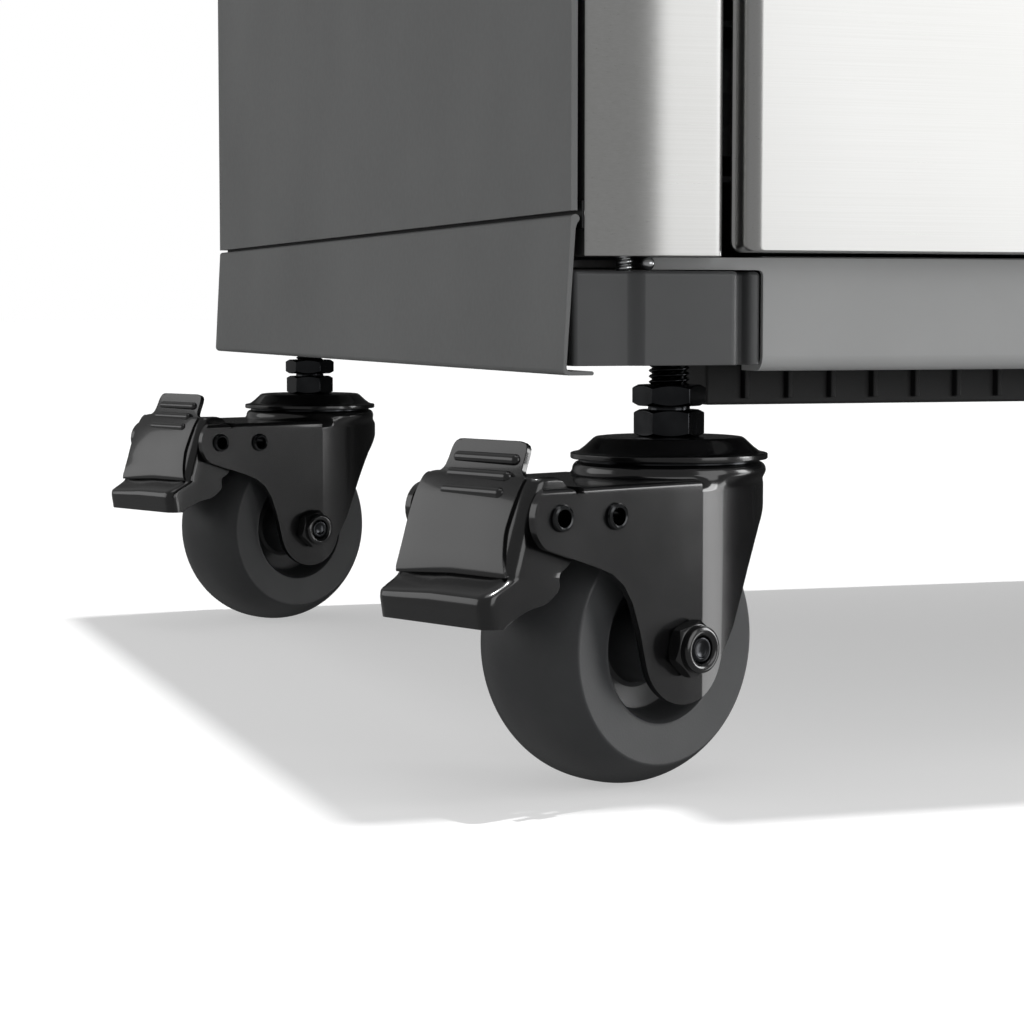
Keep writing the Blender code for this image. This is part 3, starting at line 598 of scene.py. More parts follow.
def threaded_rod(radius, low, high, depth, around=48, per_turn=8):
    """A rod whose surface follows a helical V thread."""
    rows = int((high - low) / PITCH * per_turn)
    bm = bmesh.new()
    rings = []
    for i in range(rows + 1):
        z = low + (high - low) * i / rows
        ring_points = []
        for j in range(around):
            phase = (z / PITCH - j / around) % 1
            crest = 1 - abs(2 * phase - 1)
            r = radius - depth * (1 - min(1, crest * 1.35))
            turn = 2 * math.pi * (j / around)
            ring_points.append(bm.verts.new((r * math.cos(turn), r * math.sin(turn), z)))
        rings.append(ring_points)
    skin_round(bm, rings)
    bm.faces.new(list(reversed(rings[0])))
    bm.faces.new(rings[-1])
    return bm


def hexagon(across_flats):
    reach = across_flats / math.sqrt(3)
    return [(reach * math.cos(math.radians(60 * i + 18)), reach * math.sin(math.radians(60 * i + 18)))
            for i in range(6)]


def hex_nut(across_flats, low, high, chamfer, bore=None):
    """A hexagon whose corners are rounded off top and bottom by a turning cut."""
    reach = across_flats / math.sqrt(3)
    flat = across_flats / 2 * 0.97
    round_off = turned([(0, low), (flat, low), (reach * 1.01, low + chamfer), (reach * 1.01, high - chamfer),
                        (flat, high), (0, high)], 64)
    cuts = [turned([(0, low - MM), (bore, low - MM), (bore, high + MM), (0, high + MM)], 48)] if bore else []
    blank = prism(hexagon(across_flats), low - 0.1 * MM, high + 0.1 * MM)
    return shaped(blank, 0.45, 3, keep=[round_off], cut=cuts)


thread = shaped(threaded_rod(4.65 * MM, 83.6 * MM, 97 * MM, 0.8 * MM), 0, sharp=50)
on_each_caster("stem_thread", thread, BLACK_ZINC, "root", "stem")
shank = shaped(turned([(0, 96.9 * MM), (4.4 * MM, 96.9 * MM), (4.4 * MM, STEM_TOP - MM),
                       (3.6 * MM, STEM_TOP), (0, STEM_TOP)], 32), 0)
on_each_caster("stem_shank", shank, BLACK_ZINC, "root")
on_each_caster("stem_seat", hex_nut(14.1 * MM, 77.85 * MM, 83.9 * MM, 0.7 * MM), BLACK_ZINC, "root")
collar = shaped(turned([(0, 83.3 * MM), (5.0 * MM, 83.3 * MM), (4.8 * MM, 84.2 * MM), (4.8 * MM, 84.9 * MM),
                        (0, 85.1 * MM)], 48), 0.1)
on_each_caster("stem_collar", collar, BLACK_ZINC, "root")
on_each_caster("jam_nut", hex_nut(14.7 * MM, 84.8 * MM, 89.6 * MM, 0.8 * MM, 4.6 * MM), BLACK_ZINC,
               "root", "jam_nut")
print("thread:", len(thread.polygons), "faces")

# %% [markdown]
# ## Wheel
# The wheel is one polyurethane moulding: a crowned tread, a flat ring at each side, and a deep dish that runs down
# to the hub. Its profile is turned about the axle. The crown is a curve rather than an arc, because it falls away
# faster near the edges.

# %% Wheel
WHEEL_LOW, WHEEL_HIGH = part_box("caster_front_left_wheel")
WHEEL_RADIUS = (WHEEL_HIGH.z - WHEEL_LOW.z) / 2
WHEEL_HALF = 16 * MM


def wheel_profile():
    crown = []
    for i in range(-20, 21):
        t = i / 20 * 0.96
        crown.append((WHEEL_RADIUS - 5.6 * MM * abs(t) ** 2.5, WHEEL_HALF * t))
    edge = [(27.1, 15.75), (26.8, 15.95), (26.4, 16.0), (18.3, 15.4), (17.6, 15.5), (17.1, 14.9), (16.6, 13.4),
            (15.6, 8.0), (15.0, 7.0), (14.0, 6.5), (10.4, 6.1), (9.4, 6.6), (9.0, 7.6), (8.6, 17.4), (8.2, 18.0),
            (4.2, 18.0)]
    right = [(r * MM, h * MM) for r, h in edge]
    left = [(r, -h) for r, h in reversed(right)]
    return left + crown + right + [left[0]]


wheel = shaped(turned(wheel_profile(), 128, "y"), 0, sharp=22)
wheel.transform(Matrix.Translation(AXLE))
on_each_caster("wheel", wheel, POLYURETHANE, "wheel", "wheel")
print("wheel:", len(wheel.polygons), "faces, radius", round(WHEEL_RADIUS / MM, 2), "mm")

# %% [markdown]
# ## Axle bolt, lock nut and rivets
# The axle is a bolt with a nylon-insert lock nut: a hexagon with a round collar on top, and the bolt's end just
# standing out of it. Two tubular rivets go through each cheek. A tubular rivet is rolled over at its end, so it
# shows as a small ring with a hole in it.

# %% Axle and rivets
CHEEK = HOOD


def on_axle(mesh):
    mesh.transform(Matrix.Translation(AXLE))
    return mesh


def sideways(mesh, flip=False):
    """Turns a piece made along Z so that it lies along the axle."""
    mesh.transform(Matrix.Rotation(math.pi / 2 if flip else -math.pi / 2, 4, "X"))
    return mesh


lock_nut = sideways(hex_nut(11.2 * MM, CHEEK, CHEEK + 3.6 * MM, 0.8 * MM, 2.9 * MM))
on_each_caster("axle_nut", on_axle(lock_nut), BLACK_ENAMEL, "swivel", "axle")
collar_profile = [(3.1, 0), (5.2, 0), (5.3, 1.6), (5.1, 2.2), (4.6, 2.5), (3.9, 2.5), (3.4, 2.2), (3.1, 1.8),
                  (3.1, 0)]
nut_collar = shaped(turned([(r * MM, CHEEK + (3.0 + h) * MM) for r, h in collar_profile], 64, "y"), 0)
on_each_caster("axle_nut_collar", on_axle(nut_collar), BLACK_ENAMEL, "swivel")
bolt = shaped(turned([(r * MM, h * MM) for r, h in
                      [(0, -22.6), (2.95, -22.6), (2.95, 26.5), (2.6, 26.9), (1.9, 26.9), (1.6, 26.6), (0, 26.5)]],
                     48, "y"), 0.08)
on_each_caster("axle_bolt", on_axle(bolt), BLACK_ZINC, "swivel")
bolt_head = sideways(hex_nut(11.4 * MM, CHEEK, CHEEK + 4.2 * MM, 0.8 * MM), flip=True)
on_each_caster("axle_head", on_axle(bolt_head), BLACK_ENAMEL, "swivel")

rivet_profile = [(1.75, -4.2), (2.2, -4.2), (2.2, 0.0), (2.75, 0.05), (2.95, 0.45), (2.75, 1.0), (2.3, 1.25),
                 (1.95, 1.1), (1.75, 0.6), (1.75, -4.2)]
for spot_number, (x, z) in enumerate(rivet_spots, 1):
    for side_name, side in (("outer", 1), ("inner", -1)):
        rivet = shaped(turned([(r * MM, side * (CHEEK + h * MM)) for r, h in rivet_profile], 40, "y"), 0)
        rivet.transform(Matrix.Translation((x, 0, z)))
        on_each_caster(f"rivet_{spot_number}_{side_name}", rivet, NICKEL, "swivel")
print("rivets at", [(round(x / MM, 1), round(z / MM, 1)) for x, z in rivet_spots])

# %% [markdown]
# ## Brake pedal
# The pedal is one pressing too. From the top down it has a narrow tab with three ridges, a sloping plate, and a lip
# that flares out for the toe of a shoe. Both sides bend back as flanges that reach the pivot. A grid suits it: each
# row is a level slice with its own front, width and rear edge, and each column goes round the bend. Solidify then
# gives the sheet its thickness. A tread plate lies on the slope and is made from rows in the same way.

# %% Pedal
PEDAL_ROWS = [  # height, front, half width, rear edge of the flange, all in millimetres
    (71.5, 57.3, 16.2, 53.0), (71.3, 57.45, 17.3, 51.6), (70.6, 57.9, 17.9, 50.2), (69, 58.8, 18.1, 48.8),
    (66, 60.2, 18.2, 47.4), (62, 61.8, 18.2, 46.8), (58, 63.1, 18.2, 46.6), (55, 64.0, 18.2, 46.9),
    (53.4, 64.5, 18.2, 47.6), (52.2, 64.9, 18.2, 48.8), (51.2, 65.1, 18.2, 50.4), (50.6, 65.2, 18.2, 50.9),
    (50.1, 65.7, 18.2, 51.0), (49.4, 67.0, 18.2, 51.0), (48.4, 69.2, 18.2, 50.9), (47.5, 70.9, 18.2, 51.1),
    (46.7, 71.7, 18.2, 51.8), (45.5, 72.0, 18.2, 53.4), (44.5, 71.95, 18.2, 55.4), (43.7, 71.85, 18.2, 59.6),
    (42.2, 71.6, 18.2, 63.4), (40.9, 71.4, 18.2, 65.8), (40.3, 71.3, 18.2, 66.6)]
BEND = 3.0 * MM
RIDGES = [(74.7, 55.9, 9.4), (71.2, 58.2, 9.2), (67.8, 60.1, 9.0)]  # height, front, half width
RIDGE_RADIUS = 1.35 * MM
RIDGE_TURN = math.radians(-1.4)
PLATE_ROWS = [  # height, front, right edge and left edge of the tread plate
    (71.4, 58.0, 15.0, 15.6), (70.6, 58.5, 14.8, 16.6), (68.6, 59.6, 14.6, 17.0), (66.4, 60.7, 14.6, 17.1),
    (63, 62.1, 14.4, 17.1), (60, 63.15, 14.3, 17.1), (57, 64.1, 14.9, 17.1), (54.4, 64.95, 15.8, 17.1),
    (52.2, 65.35, 16.6, 17.1), (51.2, 65.4, 17.0, 17.1), (50.7, 65.3, 17.1, 17.1)]


def hand(x, y, z):
    """The pedal is a little wider and lower on the inner side, as its lip sweeps round."""
    share = max(-y / (18 * MM), 0)
    upper = min(max((z / MM - 46) / 6, 0), 1)
    crease = math.exp(-((z / MM - 50.5) / 2.6) ** 2)
    lower = math.exp(-((z / MM - 49) / 4.5) ** 2)
    return (x + crease * share ** 2 * 1.0 * MM, y - 1.0 * MM * share * upper, z - 1.2 * MM * share * lower)


def smooth_rows(rows, per_gap=3):
    """Fills in rows between the given ones along a smooth curve."""
    table = np.array(rows, float)
    out = []
    for i in range(len(table) - 1):
        before, after = table[max(i - 1, 0)], table[min(i + 2, len(table) - 1)]
        for k in range(per_gap):
            t = k / per_gap
            here, there = table[i], table[i + 1]
            out.append(0.5 * (2 * here + (there - before) * t + (2 * before - 5 * here + 4 * there - after) * t ** 2
                              + (3 * here - before - 3 * there + after) * t ** 3))
    return out + [table[-1]]


def pedal_slice(front, half, rear):
    """Half of one level slice, from the middle of the plate round the bend to the rear edge."""
    points = [(front, half * share) for share in (0, 0.25, 0.5, 0.7)]
    bend = min(BEND, half * 0.28)
    points += [(front - bend + bend * math.cos(a), half - bend + bend * math.sin(a))
               for a in [math.radians(90 * k / 6) for k in range(7)]]
    tail = points[-1][0]
    points += [(tail + (rear - tail) * share, half) for share in (0.2, 0.4, 0.6, 0.8, 1)]
    return points


def pedal_sheet():
    bm = bmesh.new()
    grid = []
    for height, front, half, rear in smooth_rows(PEDAL_ROWS):
        side = pedal_slice(front * MM, half * MM, rear * MM)
        row = [(x, -y) for x, y in reversed(side[1:])] + side
        grid.append([bm.verts.new(hand(x, y, height * MM)) for x, y in row])
    return skin(bm, grid)


def tread_plate():
    """The plate on the slope, laid just above the sheet and curved down at its sides."""
    bm = bmesh.new()
    grid = []
    for height, front, right, left in smooth_rows(PLATE_ROWS):
        grid.append([bm.verts.new(hand((front + 0.3 - 0.25 * share ** 4) * MM,
                                       (right if share > 0 else left) * share * MM, height * MM))
                     for share in np.linspace(-1, 1, 15)])
    return skin(bm, grid)


def pedal_tab():
    """The narrow tab above the plate, bent back a little at its top."""
    bm = bmesh.new()
    rows = []
    for z, x, half in [(78.8, 54.2, 9.0), (78.65, 54.25, 10.4), (78.2, 54.4, 11.4), (77.5, 54.65, 11.95),
                       (76.5, 55.05, 12.2), (74.5, 55.9, 12.3), (73, 56.6, 12.5), (72.3, 56.95, 12.9),
                       (71.8, 57.2, 13.6), (71.2, 57.5, 15.0), (70.2, 58.1, 15.2)]:
        rows.append([bm.verts.new((x * MM, half * share * MM, z * MM)) for share in np.linspace(-1, 1, 13)])
    return skin(bm, rows)


def capsule(half, radius):
    """A round-ended bar along the axle direction, for one pressed ridge."""
    points = [(max(r, 0), h) for r, h in arc((0, half), radius, 90, 0, 6)]
    outline = [(r, -h) for r, h in points] + [(r, h) for r, h in reversed(points)]
    return turned(outline, 20, "y")


pedal = shaped(pedal_sheet(), 0.3, 2, sheet=1.5, sharp=45)
on_each_caster("pedal", pedal, BLACK_ENAMEL, "pedal", "pedal")
plate = shaped(tread_plate(), 0.4, 3, sheet=1.4, sharp=45)
on_each_caster("pedal_plate", plate, BLACK_ENAMEL, "pedal")
tab = shaped(pedal_tab(), 0.4, 3, sheet=1.5, sharp=45)
on_each_caster("pedal_tab", tab, BLACK_ENAMEL, "pedal")
for ridge_number, (height, front, half) in enumerate(RIDGES, 1):
    ridge = shaped(capsule(half * MM, RIDGE_RADIUS), 0, sharp=60)
    spot = Matrix.Translation(((front - 0.6) * MM, 0, height * MM))
    ridge.transform(spot @ Matrix.Rotation(RIDGE_TURN, 4, "Z"))
    on_each_caster(f"pedal_ridge_{ridge_number}", ridge, BLACK_ENAMEL, "pedal")
print("pedal:", len(pedal.polygons), "faces")

# %% [markdown]
# ## Brake leaf
# Between the cheeks a spring-steel leaf hangs from the rear rivet and curves down towards the tread. The pedal
# presses it on the wheel. It is a strip bent along a curve, so its edge view is drawn once and pushed sideways.

# %% Brake leaf
leaf_line = [(34.0, 67.2), (38.5, 66.6), (43, 63.6), (46.6, 59.6), (49.4, 55.6), (51.0, 53.4)]
leaf_outline = [(x * MM, z * MM) for x, z in leaf_line]
leaf_outline += [((x - 0.9) * MM, (z - 0.9) * MM) for x, z in reversed(leaf_line)]
leaf = shaped(prism(rounded(leaf_outline, 1.2 * MM, 3), -11 * MM, 11 * MM, "y"), 0.2)
on_each_caster("brake_leaf", leaf, BLACK_ZINC, "swivel")
print("leaf:", len(leaf.polygons), "faces")

# %% [markdown]
# ## Corner blocks
# The moulded blocks carry the load from the cabinet into the stems. Seen from above, the front face of each has
# a shallow step near its outer side and a rounded shoulder with a narrow flange at the inner side, so that the
# base rail can butt against it. An outline with those steps, pushed up and softened along its top, shows all of it.

# %% Corner blocks
BLOCK_SHOULDER = 1.5 * MM


def block_outline(width, depth):
    """Plan of a block: outer side at 0, front face at 0, as (inwards, backwards) millimetres."""
    points = [(0, depth), (0, 2.6), (0.5, 1.9), (1.2, 1.7), (12.4, 1.7)]
    points += [(12.4 + 3.9 * t, 1.7 - 1.7 * (3 * t * t - 2 * t ** 3)) for t in (0.15, 0.3, 0.45, 0.6, 0.75, 0.9, 1)]
    points += arc((36.3, 2.3), 2.3, 270, 360, 7)
    points += [(38.7, 3.7), (39.1, 4.4), (39.9, 4.7), (40.7, 4.4), (41.2, 3.4), (41.6, 2.7), (42.2, 2.4)]
    wide = width + BLOCK_SHOULDER / MM
    points += [(wide - 0.8, 2.4), (wide - 0.1, 2.8), (wide, 3.4), (wide, 8), (width, 8), (width, depth)]
    return points


def corner_block_mesh(low, high, side, facing):
    """A block inside the frame's box: side -1 is the left of the chest, facing -1 is its front."""
    width, depth = (high.x - low.x) / MM, (high.y - low.y) / MM
    outer = low.x if side < 0 else high.x
    front = low.y if facing < 0 else high.y
    outline = [(outer - side * p * MM, front - facing * q * MM) for p, q in block_outline(width, depth)]
    top = high.z - 0.2 * MM
    return shaped(soften_top(prism(outline, low.z, top), top, 1.1 * MM, 4), 0.2, 2, sharp=40)


for corner in CORNERS:
    node = f"corner_block_{corner}"
    low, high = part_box(node)
    mesh = corner_block_mesh(low, high, -1 if "left" in corner else 1, -1 if "front" in corner else 1)
    show(f"block_{corner}", mesh, GREY_NYLON, "root", replaces=[node])
print("blocks:", len(mesh.polygons), "faces each")

# %% [markdown]
# ## Floor brace
# A ribbed nylon channel stiffens the front of the floor from below. Its walls carry small upright ribs eleven
# millimetres apart, which show in the gap under the base rail.

# %% Floor brace
brace_low, brace_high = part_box("floor_brace")
RIB_PITCH = 11 * MM
RIB_STAND = 1.6 * MM
wall_front = brace_low.y + RIB_STAND
wall_rear = brace_high.y - RIB_STAND
brace = shaped(block((brace_low.x, wall_front, brace_low.z), (brace_high.x, wall_rear, brace_high.z)), 0.8, 2, cut=[
    block((brace_low.x + 3 * MM, wall_front + 2.4 * MM, brace_low.z - 5 * MM),
          (brace_high.x - 3 * MM, wall_rear - 2.4 * MM, brace_high.z - 3 * MM))])
show("floor_brace_channel", brace, BLACK_NYLON, "root", replaces=["floor_brace"])
ribs = bmesh.new()
count = int((brace_high.x - brace_low.x - 12 * MM) / RIB_PITCH)
for i in range(count + 1):
    x = (brace_low.x + brace_high.x) / 2 + (i - count / 2) * RIB_PITCH
    for outer, inner in ((brace_low.y, wall_front + 0.5 * MM), (brace_high.y, wall_rear - 0.5 * MM)):
        plan = [(x - 1.1 * MM, inner), (x - 0.6 * MM, outer), (x + 0.6 * MM, outer), (x + 1.1 * MM, inner)]
        rib = prism(plan, brace_low.z + 1.5 * MM, brace_high.z - 1 * MM)
        part = bpy.data.meshes.new("rib")
        rib.to_mesh(part)
        rib.free()
        ribs.from_mesh(part)
        bpy.data.meshes.remove(part)
show("floor_brace_ribs", shaped(ribs, 0.25, 2), BLACK_NYLON, "root")
print("ribs:", 2 * (count + 1))

# %% [markdown]
# ## Skirts
# The lower part of each side is a separate skirt. It is folded from one sheet: a rolled hem hides under the seam,
# the sheet leans out a little on its way down, and a lip turns under the chest. Its end view is drawn once with
# round folds, and a mirrored copy serves the other side.

# %% Skirts
skirt_low, skirt_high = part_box("left_skirt")
SKIRT_SHEET = 0.8 * MM
LEAN = 1.8 * MM
LIP = 6.6 * MM


def skirt_outline():
    """End view of the left skirt, as (inwards, up) from its outer bottom corner."""
    top = skirt_high.z - skirt_low.z
    hem = 0.95 * MM
    points = [(LEAN, top - 1.2 * hem)] + arc((LEAN + hem, top - hem), hem, 170, -60, 10)
    points += [(LEAN + SKIRT_SHEET + 0.2 * MM, top - 3.2 * hem), (SKIRT_SHEET, 2.2 * MM)]
    points += arc((SKIRT_SHEET + 0.9 * MM, 1.8 * MM), 0.9 * MM, 180, 270, 5)
    points += arc((LIP, 0.45 * MM), 0.45 * MM, 90, -90, 6) + arc((1.4 * MM, 1.4 * MM), 1.4 * MM, 270, 180, 6)
    return points


for side_name, node in (("left", "left_skirt"), ("right", "right_skirt")):
    low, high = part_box(node)
    sign, outer = (1, low.x) if side_name == "left" else (-1, high.x)
    outline = [(outer + sign * p, low.z + q) for p, q in skirt_outline()]
    sheet = prism(outline, low.y, high.y, "y")
    show(f"skirt_{side_name}", shaped(sheet, 0), CHARCOAL_POWDER_COAT, "root", replaces=[node])
    # Painted shade: a black strip behind the seam between side panel and skirt, so that the narrow gap reads as a dark
    # shadow line.
    inner = outer + sign * (LEAN + 2.6 * MM)
    painted_shade_strip = block((min(inner, inner + sign * MM), low.y + 0.6 * MM, high.z - 3 * MM),
                    (max(inner, inner + sign * MM), high.y - 0.6 * MM, high.z + 3 * MM))
    show(f"seam_painted_shade_strip_{side_name}", shaped(painted_shade_strip, 0.2), BLACK_NYLON, "root")
print("skirts:", round((skirt_high.z - skirt_low.z) / MM, 1), "mm high")

# %% [markdown]
# ## Base rail
# The rail is a folded sheet between the front corner blocks: its bottom turns under through a round bend and its
# top turns back. A narrow tongue at each end runs on above the block, with a rivet near its end and a screw beside
# it. The fold is one outline pushed sideways. The tongues belong to a T-shaped web that is joined to it, cut into
# short lengths and curved back towards its ends.

# %% Base rail
rail_low, rail_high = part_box("base_rail")
RAIL_SHEET = 1.4 * MM
FACE_BACK = 0.8 * MM
TONGUE = 25.7 * MM
RIVET_DOME = [(0, -1.5), (0.7, -1.4), (1.25, -1.0), (1.5, -0.4), (1.5, 1), (0, 1)]


def rail_outline():
    """Section of the rail, as (y, z)."""
    front = rail_low.y + FACE_BACK
    bend = 3.6 * MM
    points = [(front, rail_high.z - 1.6 * MM)] + arc((front + bend, rail_low.z + bend), bend, 180, 270, 8)
    points += [(rail_high.y, rail_low.z), (rail_high.y, rail_low.z + RAIL_SHEET)]
    points += arc((front + bend, rail_low.z + bend), bend - RAIL_SHEET, 270, 180, 8)
    points += [(front + RAIL_SHEET, rail_high.z - RAIL_SHEET - 0.6 * MM), (rail_high.y, rail_high.z - RAIL_SHEET),
               (rail_high.y, rail_high.z), (front + 0.8 * MM, rail_high.z - 0.1 * MM),
               (front + 0.2 * MM, rail_high.z - 0.5 * MM)]
    return points


tongue_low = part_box("corner_block_front_left")[1].z + 0.1 * MM
tongue_high = rail_high.z - 0.4 * MM
left_end = rail_low.x + BLOCK_SHOULDER + 0.2 * MM
right_end = rail_high.x - BLOCK_SHOULDER - 0.2 * MM
rail_front = rail_low.y + FACE_BACK
web = rounded([(left_end, rail_low.z + 8 * MM), (right_end, rail_low.z + 8 * MM), (right_end, tongue_low),
               (rail_high.x + TONGUE, tongue_low), (rail_high.x + TONGUE, tongue_high),
               (rail_low.x - TONGUE, tongue_high), (rail_low.x - TONGUE, tongue_low), (left_end, tongue_low)],
              [0, 0, 1.4 * MM, 0.5 * MM, 0.5 * MM, 0.5 * MM, 0.5 * MM, 1.4 * MM], 5)
rail = shaped(prism(rail_outline(), left_end, right_end, "x"), 0.15,
              join=[prism(web, rail_front, rail_front + RAIL_SHEET * 0.9, "y")])
work = bmesh.new()
work.from_mesh(rail)
for k in range(-3, 13):
    for end, way in ((rail_low.x, -1), (rail_high.x, 1)):
        bmesh.ops.bisect_plane(work, geom=[*work.verts, *work.edges, *work.faces],
                               plane_co=(end + way * 2 * k * MM, 0, 0), plane_no=(1, 0, 0))
for vertex in work.verts:  # the tongues curve back towards their ends
    beyond = max(rail_low.x + 6 * MM - vertex.co.x, vertex.co.x - rail_high.x + 6 * MM, 0)
    vertex.co.y += (beyond / TONGUE) ** 2 * 1.6 * MM
work.to_mesh(rail)
work.free()
rail = smoothed(rail, 38)
show("rail_sheet", rail, GREY_POWDER_COAT, "root", replaces=["base_rail"])
for side_name, end, way in (("left", rail_low.x, -1), ("right", rail_high.x, 1)):
    y = rail_front + 1.6 * MM
    spot = (end + way * (TONGUE + 4.4 * MM), y + 1.2 * MM, (tongue_low + tongue_high) / 2)
    screw = moved(threaded_rod(1.9 * MM, -1.6 * MM, 1.9 * MM, 0.35 * MM, 32, 12), spot)
    show(f"rail_screw_{side_name}", shaped(screw, 0, sharp=50), BRIGHT_ZINC, "root")
    dome = turned([(r * MM, h * MM) for r, h in RIVET_DOME], 32, "y")
    head = shaped(moved(dome, (end + way * (TONGUE - 0.6 * MM), y, (tongue_low + tongue_high) / 2)), 0, sharp=50)
    show(f"rail_rivet_{side_name}", head, BRIGHT_ZINC, "root")
print("rail:", round((rail_high.x - rail_low.x) / MM), "mm long")

# %% [markdown]
# ## Columns
# The stainless columns are folded channels. The face turns away a little towards the side of the chest, through a
# wide soft bend, and that bend draws the dark upright band in the reflection. So the section is drawn in many
# small steps, each turned a little more than the last inside the bend.

# %% Columns
COLUMN_BEND = (0.3, 0.66)
COLUMN_TURN = math.radians(12.5)


def column_outline(low, high, flip):
    """Section of a column as (x, y): flip is -1 for the right-hand one."""
    width = high.x - low.x
    outer = low.x if flip > 0 else high.x
    points = []
    away = 0
    steps = 48
    for i in range(steps, -1, -1):
        t = i / steps
        points.insert(0, (t * (width - 1.5 * MM), away))
        turn = 1 - min(max((t - COLUMN_BEND[0]) / (COLUMN_BEND[1] - COLUMN_BEND[0]), 0), 1)
        away += width / steps * math.tan(COLUMN_TURN * turn * turn * (3 - 2 * turn))
    points += [(width - 1.5 * MM + 1.5 * MM * math.sin(math.radians(a)), 1.5 * MM * (1 - math.cos(math.radians(a))))
               for a in (15, 30, 45, 60, 75, 90)]
    points += [(width, high.y - low.y), (0, high.y - low.y)]
    return [(outer + flip * p, low.y + q) for p, q in points]


for side_name, flip in (("left", 1), ("right", -1)):
    low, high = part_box(f"{side_name}_column")
    column = shaped(prism(column_outline(low, high, flip), low.z, high.z), 0.25, 2, sharp=40)
    show(f"column_{side_name}", column, STAINLESS_ACROSS, "root", replaces=[f"{side_name}_column"])
print("columns:", round((high.z - low.z) / MM), "mm high")

# %% [markdown]
# ## Drawer faces
# Each face is a shallow stainless pan. Its four edges roll back through a quarter circle, and its corners are
# drawn round. Stacking rings of points, each a rounded rectangle a little larger and further back than the last,
# follows the roll exactly, which a bevel on a box would only come near to.

# %% Drawer faces


def rounded_rectangle(half_width, half_height, radius, steps=6):
    points = []
    for sx, sz, start in ((1, 1, 0), (-1, 1, 90), (-1, -1, 180), (1, -1, 270)):
        points += arc((sx * (half_width - radius), sz * (half_height - radius)), radius, start, start + 90, steps)
    return points


def pressed_pan(low, high, roll, corner, sheet):
    """A pan that faces -Y, with its edges rolled back."""
    half_width, half_height = (high.x - low.x) / 2, (high.z - low.z) / 2
    middle = ((low.x + high.x) / 2, (low.z + high.z) / 2)
    bm = bmesh.new()
    rings = []
    levels = [(1 - math.sin(math.radians(a)), roll * (1 - math.cos(math.radians(a))))
              for a in (0, 12, 25, 38, 50, 62, 75, 90)]
    depth = high.y - low.y
    hem = -0.7 * MM / roll
    for share, back in levels + [(0, depth - 1.1 * MM), (hem, depth - 0.9 * MM), (hem, depth)]:
        outline = rounded_rectangle(half_width - share * roll, half_height - max(share, 0) * 0.12 * roll,
                                    max(corner - share * roll, 0.6 * MM))
        rings.append([bm.verts.new((middle[0] + x, low.y + back, middle[1] + z)) for x, z in outline])
    bm.faces.new(rings[0])
    skin_round(bm, rings)
    bmesh.ops.recalc_face_normals(bm, faces=bm.faces)
    return shaped(bm, 0, sheet=sheet, sharp=40)


FACE_ROLL = 3.6 * MM
FACE_CORNER = 1.8 * MM
DRAWERS = sorted(body for body in frame["bodies"] if body.startswith("drawer_"))
for body in DRAWERS:
    low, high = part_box(f"{body}_front")
    print(body, "face from", round(low.z / MM, 1), "to", round(high.z / MM, 1), "mm above the floor")
    face = pressed_pan(low, high, FACE_ROLL, FACE_CORNER, 0.9)
    show(f"{body}_face", face, STAINLESS_ACROSS, body, replaces=[f"{body}_front"])
print("faces:", len(DRAWERS))

# %% [markdown]
# ## Pulls
# The extrusion's own section is right in the frame, so the pull keeps it and only gets its finish. A moulded cap
# closes each cut end, as on the real extrusion.

# %% Pulls
for body in DRAWERS:
    pull = frame["nodes"][f"{body}_pull"]
    pull.data.materials.clear()
    pull.data.materials.append(ANODISED_ALUMINIUM)
    low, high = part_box(f"{body}_pull")
    outline = rounded([(low.y, low.z + 7 * MM), (low.y, high.z), (high.y, high.z), (high.y, low.z),
                       (high.y - 3 * MM, low.z), (high.y - 4 * MM, high.z - 6 * MM), (low.y + 3 * MM, high.z - 8 * MM),
                       (low.y + 2.4 * MM, low.z + 7 * MM)], 1.6 * MM, 4)
    for end_name, start, end in (("left", low.x - 2.2 * MM, low.x), ("right", high.x, high.x + 2.2 * MM)):
        show(f"{body}_pull_cap_{end_name}", shaped(prism(outline, start, end, "x"), 0.5, 3), BLACK_NYLON,
             body)
print("pull caps:", 2 * len(DRAWERS))

# %% [markdown]
# ## Mat
# The mat on top is ribbed so that small parts don't roll off. The ribs run across the chest, five millimetres
# apart and half a millimetre high, and a row of points per flank is enough to shape them.

# %% Mat
mat_low, mat_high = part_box("top_mat")


def ribbed_mat(low, high, pitch, rise):
    count = int((high.y - low.y - 8 * MM) / pitch)
    start = (low.y + high.y - count * pitch) / 2
    outline = [(low.y, low.z), (low.y, high.z - rise)]
    for i in range(count):
        y = start + i * pitch
        outline += [(y + pitch * s, high.z - rise * d) for s, d in ((0.22, 1), (0.34, 0.15), (0.4, 0), (0.6, 0),
                                                                    (0.66, 0.15), (0.78, 1))]
    outline += [(high.y, high.z - rise), (high.y, low.z)]
    return shaped(prism(outline, low.x, high.x, "x"), 0, sharp=50)


mat = ribbed_mat(mat_low, mat_high, 5 * MM, 0.6 * MM)
show("ribbed_mat", mat, PVC_MAT, "root", replaces=["top_mat"])
print("mat:", round((mat_high.x - mat_low.x) / MM), "by", round((mat_high.y - mat_low.y) / MM), "mm")

# %% [markdown]
# ## Push handle
# The handle is a stainless tube bent at both ends, with a round flange where each end meets the side. A curve with
# a round bevel is the natural way to draw a bent tube, and more points round the bends than in the frame make them
# look truly round.

# %% Push handle
handle_low, handle_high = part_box("push_handle")
TUBE = (handle_high.z - handle_low.z) / 2
HANDLE_BEND = 26 * MM


